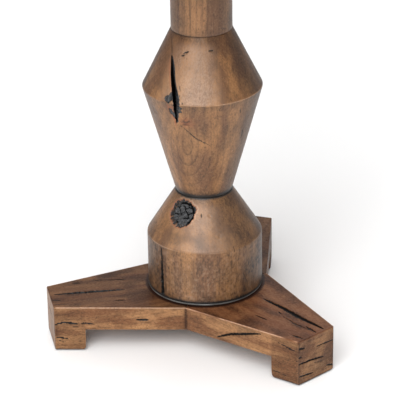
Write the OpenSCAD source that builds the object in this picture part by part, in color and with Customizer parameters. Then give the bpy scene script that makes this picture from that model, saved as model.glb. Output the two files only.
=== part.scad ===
// Tilt top table. A round plank top tilts to upright on a turned column, which stands on a
// base of three mitred legs. Millimetres, +Z up. The origin is on the floor, on the column's axis.
// One leg points along +Y, and the top tilts about an axis along X, so that it hangs over that leg.

/* [Top] */
// Height of the upper surface above the floor
table_h = 711; // [690:1:760]
// Diameter of the round top
top_d = 660; // [620:5:700]
// Thickness of the planks
top_t = 32; // [28:1:36]
// Chamfer round the rim, above and below
rim_chamfer = 2; // [1:0.5:4]

/* [Base] */
// Distance from the column's axis to the end of each leg
leg_reach = 249; // [240:1:280]
// Width of a leg at its end
leg_tip_w = 75; // [66:1:90]
// Distance from the column's axis to the corner between two legs
crotch_r = 100; // [98:1:112]
// Height of the legs' upper face above the floor
base_h = 76; // [70:1:84]
// Thickness of the legs between the hub and the feet
slab_t = 39.5; // [34:0.5:42]
// Length of the foot block under the end of each leg
foot_l = 47; // [38:1:60]
// Thickness of the felt pad under each foot
pad_t = 1.5; // [1:0.5:4]

/* [Column] */
// Diameter of the drum at the bottom of the column
drum_d = 180; // [170:1:190]
// Height of the drum's straight wall, with the ring under it
drum_wall_h = 90; // [70:1:110]
// Height of the drum's shoulder, up to the neck
drum_cone_h = 73; // [60:1:90]
// Diameter of the neck
neck_d = 88; // [84:1:96]
// Diameter of the baluster at its widest
belly_d = 184; // [160:1:190]
// Height of the baluster from the neck to its widest
belly_rise = 172; // [140:1:190]
// Height of the baluster from its widest to the shaft
shoulder_h = 92; // [80:1:110]
// Diameter of the shaft
shaft_d = 93.4; // [88:0.2:104]
// Height of the ebonised ring under the drum
ring_h = 4; // [3:0.5:6]

/* [Tilting head] */
// Width of the head block, along the tilt axis
block_w = 150; // [130:1:160]
// Height of the head block
block_h = 62; // [56:1:70]
// Distance from the column's axis forward to the front of the block
block_front = 96; // [90:1:110]
// Distance from the column's axis back to the tilt axis
pivot_back = 66; // [64:1:72]
// Depth of the tilt axis under the top
pivot_drop = 36; // [34:1:40]
// Length of the two bearers
bearer_l = 520; // [490:5:550]
// Thickness of a bearer
bearer_t = 32; // [28:1:38]
// Height of a bearer
bearer_h = 54; // [50:1:60]

/* [Hidden] */
$fn = 96;

REAR = 90;
RIGHT = -30;
LEFT = 210;
eps = 0.01;
glue_gap = 0.1;
run_gap = 0.05;

// Heights up the column
leg_under = base_h - slab_t;
drum_top = base_h + drum_wall_h;
neck_z = drum_top + drum_cone_h;
belly_z = neck_z + belly_rise;
shaft_z = belly_z + shoulder_h;
under_top = table_h - top_t;
rest_gap = 0.3;
block_top = under_top - rest_gap;
block_bottom = block_top - block_h;
pivot_z = under_top - pivot_drop;
stop_r = pivot_drop - rest_gap;

// Turned joints between the column's pieces
foot_tenon_r = 30;
foot_tenon_l = 14;
tenon_r = 25;
tenon_l = 28;
head_tenon_l = 20;
bore_r = 6.5;

// Tie rod with its nuts and washers
rod_r = 6;
rod_washer_r = 16;
rod_washer_t = 2.5;
nut_across = 18;
nut_h = 10;
nut_pocket_r = 18;
nut_pocket_depth = 22;
rod_bottom = leg_under - rod_washer_t - nut_h - 4;
rod_top = block_top - nut_pocket_depth + rod_washer_t + nut_h + 4;

// Loose tongues across the mitres
tongue_t = 8;
tongue_w = 32;
tongue_in = 42;
tongue_out = 88;
tongue_z = leg_under + slab_t / 2;

// Steel spider let into the underside of the hub
spider_t = 4;
spider_arm_w = 34;
spider_reach = 120;
spider_hub_r = 34;
spider_screw_at = [62, 106];
spider_screw_l = 26;

// Wood screws: shank and head diameters
small_shank = 3.5;
small_head = 7;
mid_shank = 4.5;
mid_head = 9;
large_shank = 5;
large_head = 10;

// Pivot: pin, bush and washer on each side
pin_r = 6;
pin_root_r = 5;
pin_root_l = 30;
pin_head_r = 11;
pin_head_t = 4;
bush_r = 8;
pivot_washer_r = 13;
pivot_washer_t = 1.2;
side_gap = 0.3;
bearer_in = block_w / 2 + pivot_washer_t + side_gap;
bearer_out = bearer_in + bearer_t;

// Plank edges across the top, from front to back
plank_edges = [-0.5, -0.321, -0.109, 0.109, 0.315, 0.5] * top_d;

// Bearer ends, and its screws: place along the bearer and depth of the counterbore
bearer_end_h = 26;
bearer_taper = 80;
bearer_screws_at = [[-0.45, 6], [-0.27, 20], [0, 20], [0.27, 20], [0.45, 6]];
counterbore_r = 5.5;
screw_grip = 20;
screw_head_h = 4;

// Slide bolt under the front of the top
bolt_y = -block_front - 16;
bolt_z = under_top - 11;
bolt_plate_t = 2;
bolt_plate = [[-72, 24], [bolt_y - 15, bolt_y + 15]];
guide_x = [-40, 8];
guide_l = 12;
guide_w = 16;
slide_r = 4;
slide_x = [-70, 24];
knob_x = -20;

// Keeper on the front of the block
eye_x = 30;
eye_l = 12;
eye_open = 10;
eye_wall = 3;
keeper_t = 2;
keeper_l = 46;

// Drying check in the baluster: it follows the grain, in an upright plane beside the axis
check_turn = 18;
check_offset = -42;
check_low = belly_z - 34;
check_high = belly_z + 72;
check_floor = 60;

// Loose knot in the drum's shoulder
knot_turn = 252.7;
knot_z = drum_top + 0.69 * drum_cone_h;
knot_r = 17;
knot_depth = 5;

// A countersunk wood screw, head down at z = 0, shank upwards
module wood_screw(shank, head, l) {
    cylinder(h = head / 2, d1 = head, d2 = shank, $fn = 32);
    cylinder(h = l, d = shank, $fn = 32);
}

// A cylinder along +X, from x0 to x1
module x_rod(x0, x1, r, y, z) {
    translate([x0, y, z]) rotate([0, 90, 0]) cylinder(h = x1 - x0, r = r);
}

// A box from its lowest corner to its highest corner
module box(low, high) {
    translate(low) cube(high - low);
}

module hex_nut(z) {
    translate([0, 0, z]) difference() {
        cylinder(h = nut_h, r = nut_across / 2 / cos(30), $fn = 6);
        translate([0, 0, -eps]) cylinder(h = nut_h + 2 * eps, r = rod_r);
    }
}

module flat_washer(z, r_out, r_in, t) {
    translate([0, 0, z]) difference() {
        cylinder(h = t, r = r_out);
        translate([0, 0, -eps]) cylinder(h = t + 2 * eps, r = r_in);
    }
}

module tongues() {
    for (a = [RIGHT, REAR, LEFT])
        rotate(a + 60) translate([tongue_in, -tongue_w / 2, tongue_z - tongue_t / 2])
            cube([tongue_out - tongue_in, tongue_w, tongue_t]);
}

// Three flat arms round a hub, from the underside of the legs upwards
module spider_star(below) {
    translate([0, 0, leg_under - below]) {
        cylinder(h = spider_t + below, r = spider_hub_r);
        for (a = [RIGHT, REAR, LEFT])
            rotate(a) translate([0, -spider_arm_w / 2, 0])
                cube([spider_reach, spider_arm_w, spider_t + below]);
    }
}

module spider_screw_set() {
    for (a = [RIGHT, REAR, LEFT], r = spider_screw_at)
        rotate(a) translate([r, 0, leg_under]) wood_screw(mid_shank, mid_head, spider_screw_l);
}

// Outline of a leg, which points along +X: mitred at the hub and tapered to its end
module leg_outline() {
    polygon([[0, 0],
        crotch_r * [cos(60), -sin(60)], [leg_reach, -leg_tip_w / 2],
        [leg_reach, leg_tip_w / 2], crotch_r * [cos(60), sin(60)]]);
}

module leg(angle) {
    color("saddlebrown") difference() {
        rotate(angle) difference() {
            translate([0, 0, pad_t]) linear_extrude(base_h - pad_t) leg_outline();
            box([-1, -crotch_r, 0], [leg_reach - foot_l, crotch_r, leg_under]);
        }
        translate([0, 0, base_h - foot_tenon_l - 1]) cylinder(h = slab_t, r = foot_tenon_r + glue_gap);
        cylinder(h = base_h, r = bore_r);
        tongues();
        spider_star(eps);
        spider_screw_set();
    }
}

module mitre_tongues() {
    color("tan") tongues();
}

module spider_plate() {
    color("dimgray") difference() {
        spider_star(0);
        cylinder(h = base_h, r = bore_r);
        spider_screw_set();
    }
}

module spider_screws() {
    color("gray") spider_screw_set();
}

module foot_pad(angle) {
    color("darkslategray") rotate(angle) translate([leg_reach - foot_l / 2, 0, 0])
        cylinder(h = pad_t, d = foot_l * 0.75);
}

module foot_ring() {
    color("black") translate([0, 0, base_h]) rotate_extrude() polygon([
        [foot_tenon_r + glue_gap, 0], [drum_d / 2 - 0.8, 0], [drum_d / 2, 0.8],
        [drum_d / 2, ring_h - 0.8], [drum_d / 2 - 0.8, ring_h], [foot_tenon_r + glue_gap, ring_h]]);
}

// A turned piece with a tenon below, a socket above and a bore for the tie rod.
// wall lists its outer profile from the bottom up, as [radius, height].
module turned(wall, tenon_radius, tenon_len, socket_radius, socket_depth) {
    low = wall[0][1];
    high = wall[len(wall) - 1][1];
    rotate_extrude() polygon(concat(
        [[bore_r, low - tenon_len], [tenon_radius, low - tenon_len], [tenon_radius, low]],
        wall,
        [[socket_radius, high], [socket_radius, high - socket_depth], [bore_r, high - socket_depth]]));
}

// The loose knot leaves a ragged pocket, square to the shoulder's slope
module knot_pocket() {
    slope = atan2(drum_cone_h, (drum_d - neck_d) / 2);
    radius = drum_d / 2 - (drum_d - neck_d) / 2 * (knot_z - drum_top) / drum_cone_h;
    rotate(knot_turn) translate([radius, 0, knot_z]) rotate([0, 90 - slope, 0])
        translate([0, 0, -knot_depth]) cylinder(h = 3 * knot_depth, r = knot_r, $fn = 11);
}

module drum() {
    color("sienna") difference() {
        turned([[drum_d / 2, base_h + ring_h], [drum_d / 2, drum_top], [neck_d / 2, neck_z]],
            foot_tenon_r, foot_tenon_l + ring_h, tenon_r + glue_gap, tenon_l + 1);
        knot_pocket();
    }
}

// The check is a long lens, pointed above and below
module drying_check() {
    tall = check_high - check_low;
    rotate(check_turn) translate([check_offset, -check_floor + 30, check_low])
        rotate([90, 0, 0]) linear_extrude(belly_d) polygon([
            [2, 0], [3.4, 0.2 * tall], [2.4, 0.5 * tall], [2.2, 0.8 * tall], [0.5, tall],
            [-1.6, 0.75 * tall], [-2, 0.45 * tall], [0.4, 0.2 * tall]]);
}

module baluster() {
    color("sienna") difference() {
        turned([[neck_d / 2, neck_z], [belly_d / 2, belly_z], [shaft_d / 2, shaft_z]],
            tenon_r, tenon_l, tenon_r + glue_gap, tenon_l + 1);
        drying_check();
    }
}

module shaft() {
    color("sienna") rotate_extrude() polygon([
        [bore_r, shaft_z - tenon_l], [tenon_r, shaft_z - tenon_l], [tenon_r, shaft_z],
        [shaft_d / 2, shaft_z], [shaft_d / 2, block_bottom], [tenon_r, block_bottom],
        [tenon_r, block_bottom + head_tenon_l], [bore_r, block_bottom + head_tenon_l]]);
}

module tie_rod() {
    color("silver") translate([0, 0, rod_bottom]) cylinder(h = rod_top - rod_bottom, r = rod_r);
}

module tie_rod_washers() {
    color("silver") {
        flat_washer(leg_under - rod_washer_t, rod_washer_r, bore_r, rod_washer_t);
        flat_washer(block_top - nut_pocket_depth, rod_washer_r, bore_r, rod_washer_t);
    }
}

module tie_rod_nuts() {
    color("silver") {
        hex_nut(leg_under - rod_washer_t - nut_h);
        hex_nut(block_top - nut_pocket_depth + rod_washer_t);
    }
}

// The block's back upper edge is a quarter round about the tilt axis, and its back face is the
// stop that the top meets when it is upright.
module head_block() {
    color("saddlebrown") difference() {
        union() {
            box([-block_w / 2, -block_front, block_bottom], [block_w / 2, pivot_back, block_top]);
            box([-block_w / 2, pivot_back - eps, block_bottom],
                [block_w / 2, pivot_back + stop_r, pivot_z]);
            intersection() {
                x_rod(-block_w / 2, block_w / 2, stop_r, pivot_back, pivot_z);
                box([-block_w, pivot_back - eps, pivot_z - eps], [block_w, 2 * pivot_back, block_top + 1]);
            }
        }
        translate([0, 0, block_bottom - eps]) cylinder(h = head_tenon_l + 1, r = tenon_r + glue_gap);
        translate([0, 0, block_bottom]) cylinder(h = block_h, r = bore_r);
        translate([0, 0, block_top - nut_pocket_depth]) cylinder(h = block_h, r = nut_pocket_r);
        for (s = [-1, 1])
            x_rod(min(s * (block_w / 2 - pin_root_l), s * block_w), max(s * (block_w / 2 - pin_root_l),
                s * block_w), pin_root_r, pivot_back, pivot_z);
        keeper_screw_set();
    }
}

// side is 1 on the right (+X) and -1 on the left
module pivot_pin(side) {
    color("goldenrod") mirror([side < 0 ? 1 : 0, 0, 0]) {
        x_rod(block_w / 2 - pin_root_l, block_w / 2, pin_root_r, pivot_back, pivot_z);
        x_rod(block_w / 2, bearer_out + side_gap, pin_r, pivot_back, pivot_z);
        x_rod(bearer_out + side_gap, bearer_out + side_gap + pin_head_t, pin_head_r, pivot_back, pivot_z);
    }
}

module pivot_washers() {
    color("goldenrod") for (side = [-1, 1])
        mirror([side < 0 ? 1 : 0, 0, 0]) difference() {
            x_rod(block_w / 2, block_w / 2 + pivot_washer_t, pivot_washer_r, pivot_back, pivot_z);
            x_rod(0, block_w, pin_r, pivot_back, pivot_z);
        }
}

module pivot_bush(side) {
    color("goldenrod") mirror([side < 0 ? 1 : 0, 0, 0]) difference() {
        x_rod(bearer_in, bearer_out, bush_r, pivot_back, pivot_z);
        x_rod(0, 2 * block_w, pin_r + run_gap, pivot_back, pivot_z);
    }
}

// How deep a bearer is at a place along it: the ends taper
function bearer_depth(y) = bearer_h - max(0, (bearer_h - bearer_end_h)
    * (abs(y) - (bearer_l / 2 - bearer_taper)) / bearer_taper);

module bearer_screw_set() {
    for (side = [-1, 1], s = bearer_screws_at) {
        head_z = under_top - bearer_depth(s[0] * bearer_l) + s[1];
        translate([side * (bearer_in + bearer_t / 2), s[0] * bearer_l, head_z]) {
            cylinder(h = under_top + screw_grip - head_z, d = large_shank, $fn = 32);
            cylinder(h = screw_head_h, d = large_head, $fn = 32);
        }
    }
}

module counterbores() {
    for (side = [-1, 1], s = bearer_screws_at) {
        head_z = under_top - bearer_depth(s[0] * bearer_l) + s[1];
        translate([side * (bearer_in + bearer_t / 2), s[0] * bearer_l, head_z + screw_head_h - bearer_h])
            cylinder(h = bearer_h, r = counterbore_r, $fn = 32);
    }
}

module bearer(side) {
    half = bearer_l / 2;
    color("saddlebrown") difference() {
        translate([side * (bearer_in + bearer_t / 2) - bearer_t / 2, 0, under_top])
            rotate([90, 0, 90]) linear_extrude(bearer_t) polygon([
                [-half, 0], [-half, -bearer_end_h], [bearer_taper - half, -bearer_h],
                [half - bearer_taper, -bearer_h], [half, -bearer_end_h], [half, 0]]);
        x_rod(-bearer_out - 1, bearer_out + 1, bush_r, pivot_back, pivot_z);
        bearer_screw_set();
        counterbores();
    }
}

module bearer_screws() {
    color("silver") bearer_screw_set();
}

// Planks run along X, so that the bearers cross them all
module plank(i) {
    r = top_d / 2;
    color("saddlebrown") difference() {
        intersection() {
            translate([0, 0, under_top]) rotate_extrude($fn = 180) polygon([
                [0, 0], [r - rim_chamfer, 0], [r, rim_chamfer], [r, top_t - rim_chamfer],
                [r - rim_chamfer, top_t], [0, top_t]]);
            box([-r - 1, plank_edges[i - 1], under_top - 1], [r + 1, plank_edges[i], table_h + 1]);
        }
        bearer_screw_set();
        bolt_screw_set();
    }
}

module bolt_screw_set() {
    for (x = [bolt_plate[0][0] + 6, bolt_plate[0][1] - 16], y = [bolt_y - 10.5, bolt_y + 10.5])
        translate([x, y, under_top - bolt_plate_t]) wood_screw(small_shank, small_head, 14);
}

module bolt_case() {
    color("goldenrod") difference() {
        union() {
            box([bolt_plate[0][0], bolt_plate[1][0], under_top - bolt_plate_t],
                [bolt_plate[0][1], bolt_plate[1][1], under_top]);
            for (x = guide_x)
                box([x, bolt_y - guide_w / 2, bolt_z - 7],
                    [x + guide_l, bolt_y + guide_w / 2, under_top - bolt_plate_t + eps]);
        }
        x_rod(guide_x[0] - 1, guide_x[1] + guide_l + 1, slide_r + run_gap, bolt_y, bolt_z);
        bolt_screw_set();
    }
}

module bolt_screws() {
    color("goldenrod") bolt_screw_set();
}

module slide_rod() {
    color("goldenrod") difference() {
        x_rod(slide_x[0], slide_x[1], slide_r, bolt_y, bolt_z);
        knob_stalk();
    }
}

module knob_stalk() {
    translate([knob_x, bolt_y, bolt_z - 16]) cylinder(h = 16, r = 2, $fn = 32);
}

module slide_knob() {
    color("goldenrod") {
        knob_stalk();
        translate([knob_x, bolt_y, bolt_z - 23]) cylinder(h = 3, r1 = 3.5, r2 = 5, $fn = 48);
        translate([knob_x, bolt_y, bolt_z - 20]) cylinder(h = 4, r = 5, $fn = 48);
        translate([knob_x, bolt_y, bolt_z - 16]) cylinder(h = 3, r1 = 5, r2 = 2.5, $fn = 48);
    }
}

module keeper_screw_set() {
    for (x = [eye_x + eye_l / 2 - keeper_l / 2 + 6, eye_x + eye_l / 2 + keeper_l / 2 - 6])
        translate([x, -block_front - keeper_t, bolt_z]) rotate([-90, 0, 0])
            wood_screw(small_shank, small_head, 18);
}

module keeper() {
    half = eye_open / 2;
    mid = eye_x + eye_l / 2;
    color("goldenrod") difference() {
        union() {
            box([mid - keeper_l / 2, -block_front - keeper_t, bolt_z - half - eye_wall],
                [mid + keeper_l / 2, -block_front, bolt_z + half + eye_wall]);
            box([eye_x, bolt_y - half - eye_wall, bolt_z - half - eye_wall],
                [eye_x + eye_l, -block_front, bolt_z + half + eye_wall]);
        }
        box([eye_x - 1, bolt_y - half, bolt_z - half], [eye_x + eye_l + 1, bolt_y + half, bolt_z + half]);
        keeper_screw_set();
    }
}

module keeper_screws() {
    color("goldenrod") keeper_screw_set();
}

leg(REAR);  // leg_rear
leg(RIGHT);  // leg_right
leg(LEFT);  // leg_left
mitre_tongues();
spider_plate();
spider_screws();
foot_pad(REAR);  // foot_pad_rear
foot_pad(RIGHT);  // foot_pad_right
foot_pad(LEFT);  // foot_pad_left
foot_ring();
drum();
baluster();
shaft();
tie_rod();
tie_rod_washers();
tie_rod_nuts();
head_block();
pivot_pin(-1);  // pivot_pin_left
pivot_pin(1);  // pivot_pin_right
pivot_washers();
plank(1);  // plank_1
plank(2);  // plank_2
plank(3);  // plank_3
plank(4);  // plank_4
plank(5);  // plank_5
bearer(-1);  // bearer_left
bearer(1);  // bearer_right
bearer_screws();
pivot_bush(-1);  // pivot_bush_left
pivot_bush(1);  // pivot_bush_right
bolt_case();
bolt_screws();
slide_rod();
slide_knob();
keeper();
keeper_screws();
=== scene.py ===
"""Tilt top table in brown-stained hardwood, rubbed with dark wax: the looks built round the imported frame.

Shapes are worked out in millimetres and become metres when a mesh is made. The column stands on the
origin, +Z is up, and the rear leg points along +Y.
"""
import math

import bmesh
import bpy
import numpy as np
from mathutils import Matrix, Vector


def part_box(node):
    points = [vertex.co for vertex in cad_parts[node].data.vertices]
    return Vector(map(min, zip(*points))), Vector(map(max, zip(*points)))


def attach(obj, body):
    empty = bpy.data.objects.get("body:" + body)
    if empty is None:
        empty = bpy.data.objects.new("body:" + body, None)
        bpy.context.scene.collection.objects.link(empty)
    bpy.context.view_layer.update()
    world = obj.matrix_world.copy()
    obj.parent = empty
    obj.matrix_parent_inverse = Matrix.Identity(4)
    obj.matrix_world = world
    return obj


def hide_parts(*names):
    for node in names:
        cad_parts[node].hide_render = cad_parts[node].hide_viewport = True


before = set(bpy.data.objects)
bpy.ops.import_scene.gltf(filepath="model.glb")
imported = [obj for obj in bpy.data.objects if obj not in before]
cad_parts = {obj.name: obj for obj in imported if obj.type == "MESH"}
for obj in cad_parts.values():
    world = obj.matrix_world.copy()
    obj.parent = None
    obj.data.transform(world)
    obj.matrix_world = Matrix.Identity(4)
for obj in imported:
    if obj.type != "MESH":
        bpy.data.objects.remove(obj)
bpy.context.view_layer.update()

MM = 0.001


def low(node):
    """A node's lowest corner, in millimetres."""
    return [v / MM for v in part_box(node)[0]]


def high(node):
    """A node's highest corner, in millimetres."""
    return [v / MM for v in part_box(node)[1]]


# Sizes that the frame gives
BASE_TOP = high("leg_right")[2]
RING_TOP = high("foot_ring")[2]
DRUM_R = high("drum")[0]
NECK_Z = high("drum")[2]
BELLY_R = high("baluster")[0]
SHAFT_Z = high("baluster")[2]
SHAFT_R = high("shaft")[0]
BLOCK_UNDER = low("head_block")[2]
TOP_UNDER = low("plank_3")[2]
TOP_UPPER = high("plank_3")[2]
TOP_R = high("plank_3")[0]
LEG_REACH = high("leg_rear")[1]
FOOT_UNDER = low("leg_rear")[2]
SLAB_UNDER = low("spider_plate")[2]

# Sizes inside the nodes' boxes, as the frame's own source has them
NECK_R = 44
SHOULDER_Z = BASE_TOP + 90
BELLY_Z = NECK_Z + 172
BORE_R = 6.5
TENON_R = 25
SOCKET_R = 25.1
TENON = 28
FOOT_TENON_R = 30
CROTCH_R = 100
LEG_TIP_W = 75
FOOT_L = 47

# The corner between two legs, along a leg and across it
HUB_U = CROTCH_R * math.cos(math.radians(60))
HUB_V = CROTCH_R * math.sin(math.radians(60))

# The way the front of the table faces, which the checks and knots in it are placed by
FRONT_TURN = math.radians(18.19)
ACROSS = np.array([math.cos(FRONT_TURN), math.sin(FRONT_TURN), 0])
INWARD = np.array([-math.sin(FRONT_TURN), math.cos(FRONT_TURN), 0])


# ---------------------------------------------------------------- working out surfaces

def ease(value):
    """0 below 0, 1 above 1, and a smooth step between."""
    t = np.clip(value, 0, 1)
    return t * t * (3 - 2 * t)


def bell(distance, width):
    """A bell curve: 1 where the distance is 0, and e to the minus 1 where it is the width."""
    return np.exp(-(distance / width) ** 2)


def flutter(points, size, seed):
    """Smooth noise from -1 to 1: random numbers on a cubic lattice with a cell of the given size in mm
    (one number, or one for each axis), blended by a smooth step along each axis."""
    q = np.asarray(points, float) / size
    cell = np.floor(q).astype(np.int64)
    t = ease(q - cell)
    total = np.zeros(q.shape[:-1])
    for corner in range(8):
        step = np.array([corner & 1, corner >> 1 & 1, corner >> 2 & 1])
        n = (cell + step) @ np.array([73856093, 19349663, 83492791]) + seed * 2654435761
        n = (n ^ (n >> 13)) * 1274126177 & 0xFFFFFFFF
        n = (n ^ (n >> 16)) & 0xFFFF
        total += np.prod(np.where(step, t, 1 - t), axis=-1) * (n / 32767.5 - 1)
    return total


def crowded(count, start, end, marks=()):
    """Values from start to end that crowd together at each mark (place, reach, strength): their
    density is 1 plus a bell curve at each mark, and they are equal steps of its running total."""
    fine = np.linspace(start, end, 4000)
    density = np.ones_like(fine)
    for place, reach, strength in marks:
        density += strength * bell(fine - place, reach)
    total = np.concatenate([[0], np.cumsum(density[1:] + density[:-1])])
    return np.interp(np.linspace(0, total[-1], count), total, fine)


def eased_line(corners, cuts, count, marks=()):
    """A line through the corners, each rounded by a parabola between the points one cut away on either
    side, and then divided into count points by its length. Marks crowd the points, by their height."""
    corners = np.array(corners, float)
    bits = [corners[:1]]
    for before, corner, after, cut in zip(corners, corners[1:], corners[2:], cuts):
        into = corner + (before - corner) / np.linalg.norm(before - corner) * cut
        out = corner + (after - corner) / np.linalg.norm(after - corner) * cut
        t = np.linspace(0, 1, 9)[:, None]
        bits.append((1 - t) ** 2 * into + 2 * t * (1 - t) * corner + t * t * out)
    line = np.concatenate(bits + [corners[-1:]])
    run = np.concatenate([[0], np.cumsum(np.linalg.norm(np.diff(line, axis=0), axis=1))])
    bends = [(run[1 + 9 * i + 4], 1.5 * cut, 6) for i, cut in enumerate(cuts) if cut > 0]
    heights = [(np.interp(z, line[:, 1], run), reach, strength) for z, reach, strength in marks]
    at = crowded(count, 0, run[-1], bends + heights)
    return np.stack([np.interp(at, run, line[:, 0]), np.interp(at, run, line[:, 1])], axis=-1)


def normals_of(grid):
    """Unit normals of a grid whose rows are closed rings: the cross product of the differences along
    and around, turned to point away from each ring's middle."""
    around = np.roll(grid, -1, axis=1) - np.roll(grid, 1, axis=1)
    along = np.gradient(grid, axis=0)
    n = np.cross(around, along)
    n /= np.maximum(np.linalg.norm(n, axis=-1, keepdims=True), 1e-9)
    out = grid - grid.mean(axis=1, keepdims=True)
    return n * np.where((n * out).sum(axis=(1, 2)) < 0, -1, 1)[:, None, None]


class FinishAndPaintedLight:
    """What the maker's hand and age did at each point of a grid, and the light and shade painted on it: the
    dark wax layer is dark wax left in hollows and also painted shade on sides and faces turned from the
    light, the rubbed layer is where it was rubbed through and also painted sheen, highlights and glare,
    char is blackened wood, ash is charred wood weathered to grey, and bare is raw wood round a knot."""

    def __init__(self, grid):
        self.glaze, self.worn, self.char, self.ash, self.bare = (np.zeros(grid.shape[:-1]) for _ in range(5))

    def most(self, name, amount):
        setattr(self, name, np.maximum(getattr(self, name), amount))


def cut_marks(grid, normals, finish_and_painted_light, marks, seed):
    """Cuts each mark into the surface. A mark is (points, width, depth, ragged, blackness): a groove along
    a line of points, lens-shaped along its length and rounded across, whose edge wanders by ragged mm.
    Blackness over 1 is black wood weathered that much to grey."""
    moved = grid.copy()
    rag = flutter(grid, 2.6, seed) + 0.5 * flutter(grid, 1.1, seed + 1)
    for points, width, depth, ragged, blackness in marks:
        points = np.array(points, float)
        reach = width + ragged + 3
        near = np.all((grid > points.min(0) - reach) & (grid < points.max(0) + reach), axis=-1)
        if not near.any():
            continue
        p = grid[near]
        steps = np.linalg.norm(np.diff(points, axis=0), axis=1)
        runs = np.concatenate([[0], np.cumsum(steps)])
        best = np.full(len(p), 1e9)
        along = np.zeros(len(p))
        for a, b, run, step in zip(points, points[1:], runs, steps):
            t = np.clip((p - a) @ (b - a) / step ** 2, 0, 1)
            d = np.linalg.norm(p - a - t[:, None] * (b - a), axis=1)
            along = np.where(d < best, (run + t * step) / runs[-1], along)
            best = np.minimum(best, d)
        lens = (4 * along * (1 - along) + 1e-6) ** 0.55
        half = width / 2 * lens + ragged * rag[near] * lens
        inside = ease((half - best) / 0.9 + 0.5)
        moved[near] -= normals[near] * (depth * inside * np.minimum(1, lens * 1.3))[:, None]
        soot, ash, halo = (np.zeros(grid.shape[:-1]) for _ in range(3))
        soot[near] = ease((half - best) / 0.9 + 0.8) * min(blackness, 1)
        ash[near] = ease((half - best) / 0.8 + 0.2) * max(blackness - 1, 0)
        halo[near] = 0.45 * min(blackness, 1) * lens * np.exp(-np.maximum(best - half, 0) / 2.0)
        finish_and_painted_light.most("char", soot)
        finish_and_painted_light.most("ash", ash)
        finish_and_painted_light.most("glaze", halo)
    return moved


def skin(name, grid, body, finish_and_painted_light=None, grain=None, ends="closed", figure=None):
    """Makes a piece from a grid of points in mm whose rows are closed rings. ends says how the first and
    last rings close: "closed" with a fan to their middle, "looped" by joining last to first."""
    rows, cols = grid.shape[:2]
    flat = grid.reshape(-1, 3)
    row = np.arange(rows if ends == "looped" else rows - 1)[:, None]
    col = np.arange(cols)[None, :]
    this, after, side = row * cols, (row + 1) % rows * cols, (col + 1) % cols
    quads = np.stack([this + col, this + side, after + side, after + col], axis=-1).reshape(-1, 4)
    verts, fans = flat, np.zeros((0, 3), int)
    if ends == "closed":
        verts = np.concatenate([flat, grid[:1].mean(axis=1), grid[-1:].mean(axis=1)])
        c = np.arange(cols)
        d = (c + 1) % cols
        last = (rows - 1) * cols
        start_fan = np.stack([np.full(cols, rows * cols), d, c], axis=-1)
        end_fan = np.stack([np.full(cols, rows * cols + 1), last + c, last + d], axis=-1)
        fans = np.concatenate([start_fan, end_fan])
    a, b, c, d = (verts[quads[:, i]] for i in range(4))
    volume = (a * np.cross(b, c)).sum() + (a * np.cross(c, d)).sum()
    if len(fans):
        volume += (verts[fans[:, 0]] * np.cross(verts[fans[:, 1]], verts[fans[:, 2]])).sum()
    if volume < 0:
        quads, fans = quads[:, ::-1], fans[:, ::-1]
    mesh = bpy.data.meshes.new(name)
    mesh.vertices.add(len(verts))
    mesh.vertices.foreach_set("co", (verts * MM).ravel())
    corners = np.concatenate([quads.ravel(), fans.ravel()]).astype(np.int32)
    sizes = np.concatenate([np.full(len(quads), 4), np.full(len(fans), 3)])
    mesh.loops.add(len(corners))
    mesh.loops.foreach_set("vertex_index", corners)
    mesh.polygons.add(len(sizes))
    mesh.polygons.foreach_set("loop_start", np.concatenate([[0], np.cumsum(sizes)[:-1]]).astype(np.int32))
    mesh.update(calc_edges=True)
    mesh.validate()
    padding = len(verts) - len(flat)

    def store(label, kind, field, values):
        values = np.concatenate([values, np.repeat(values[-1:], padding, axis=0)]) if padding else values
        layer = mesh.attributes.new(label, kind, "POINT")
        layer.data.foreach_set(field, values.astype(np.float32).ravel())

    if finish_and_painted_light is not None:
        store("finish_and_painted_light", "FLOAT_VECTOR", "vector",
              np.stack([finish_and_painted_light.glaze, finish_and_painted_light.worn, finish_and_painted_light.char], axis=-1).reshape(-1, 3))
        store("bare", "FLOAT", "value", finish_and_painted_light.bare.reshape(-1))
    if grain is not None:
        store("grain", "FLOAT_VECTOR", "vector", grain.reshape(-1, 3))
        if figure is None:
            figure = np.stack([np.hypot(grain[..., 0], grain[..., 1]), 0.3 + 0 * grain[..., 0],
                               0 * grain[..., 0]], axis=-1)
        if finish_and_painted_light is not None:
            figure[..., 2] = finish_and_painted_light.ash
        store("figure", "FLOAT_VECTOR", "vector", figure.reshape(-1, 3))
    weld(mesh)
    piece = bpy.data.objects.new(name, mesh)
    bpy.context.scene.collection.objects.link(piece)
    mesh.shade_smooth()
    mesh.set_sharp_from_angle(angle=math.radians(50))
    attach(piece, body)
    return piece


def weld(mesh):
    """Merges points that lie together, so that poles and seams are closed."""
    work = bmesh.new()
    work.from_mesh(mesh)
    bmesh.ops.remove_doubles(work, verts=work.verts, dist=2e-6)
    work.to_mesh(mesh)
    work.free()


# ---------------------------------------------------------------- turned pieces

def turned_grid(line, azimuths):
    """A profile of (radius, height) carried round the column: azimuths holds one row of angles for each
    profile point, or one row for all of them."""
    azimuths = np.broadcast_to(azimuths, (len(line), np.shape(azimuths)[-1]))
    r, z = line[:, :1], line[:, 1:]
    return np.stack([r * np.cos(azimuths), r * np.sin(azimuths), z + 0 * azimuths], axis=-1)


def start_turning(wall, line, azimuths):
    """The grid of a turned piece, the normals of its wall and its finish. Its inside has no normals, so
    nothing is cut there."""
    grid = turned_grid(line, azimuths)
    normals = np.zeros_like(grid)
    normals[:len(wall)] = normals_of(grid[:len(wall)])
    return grid, normals, FinishAndPaintedLight(grid)


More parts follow.
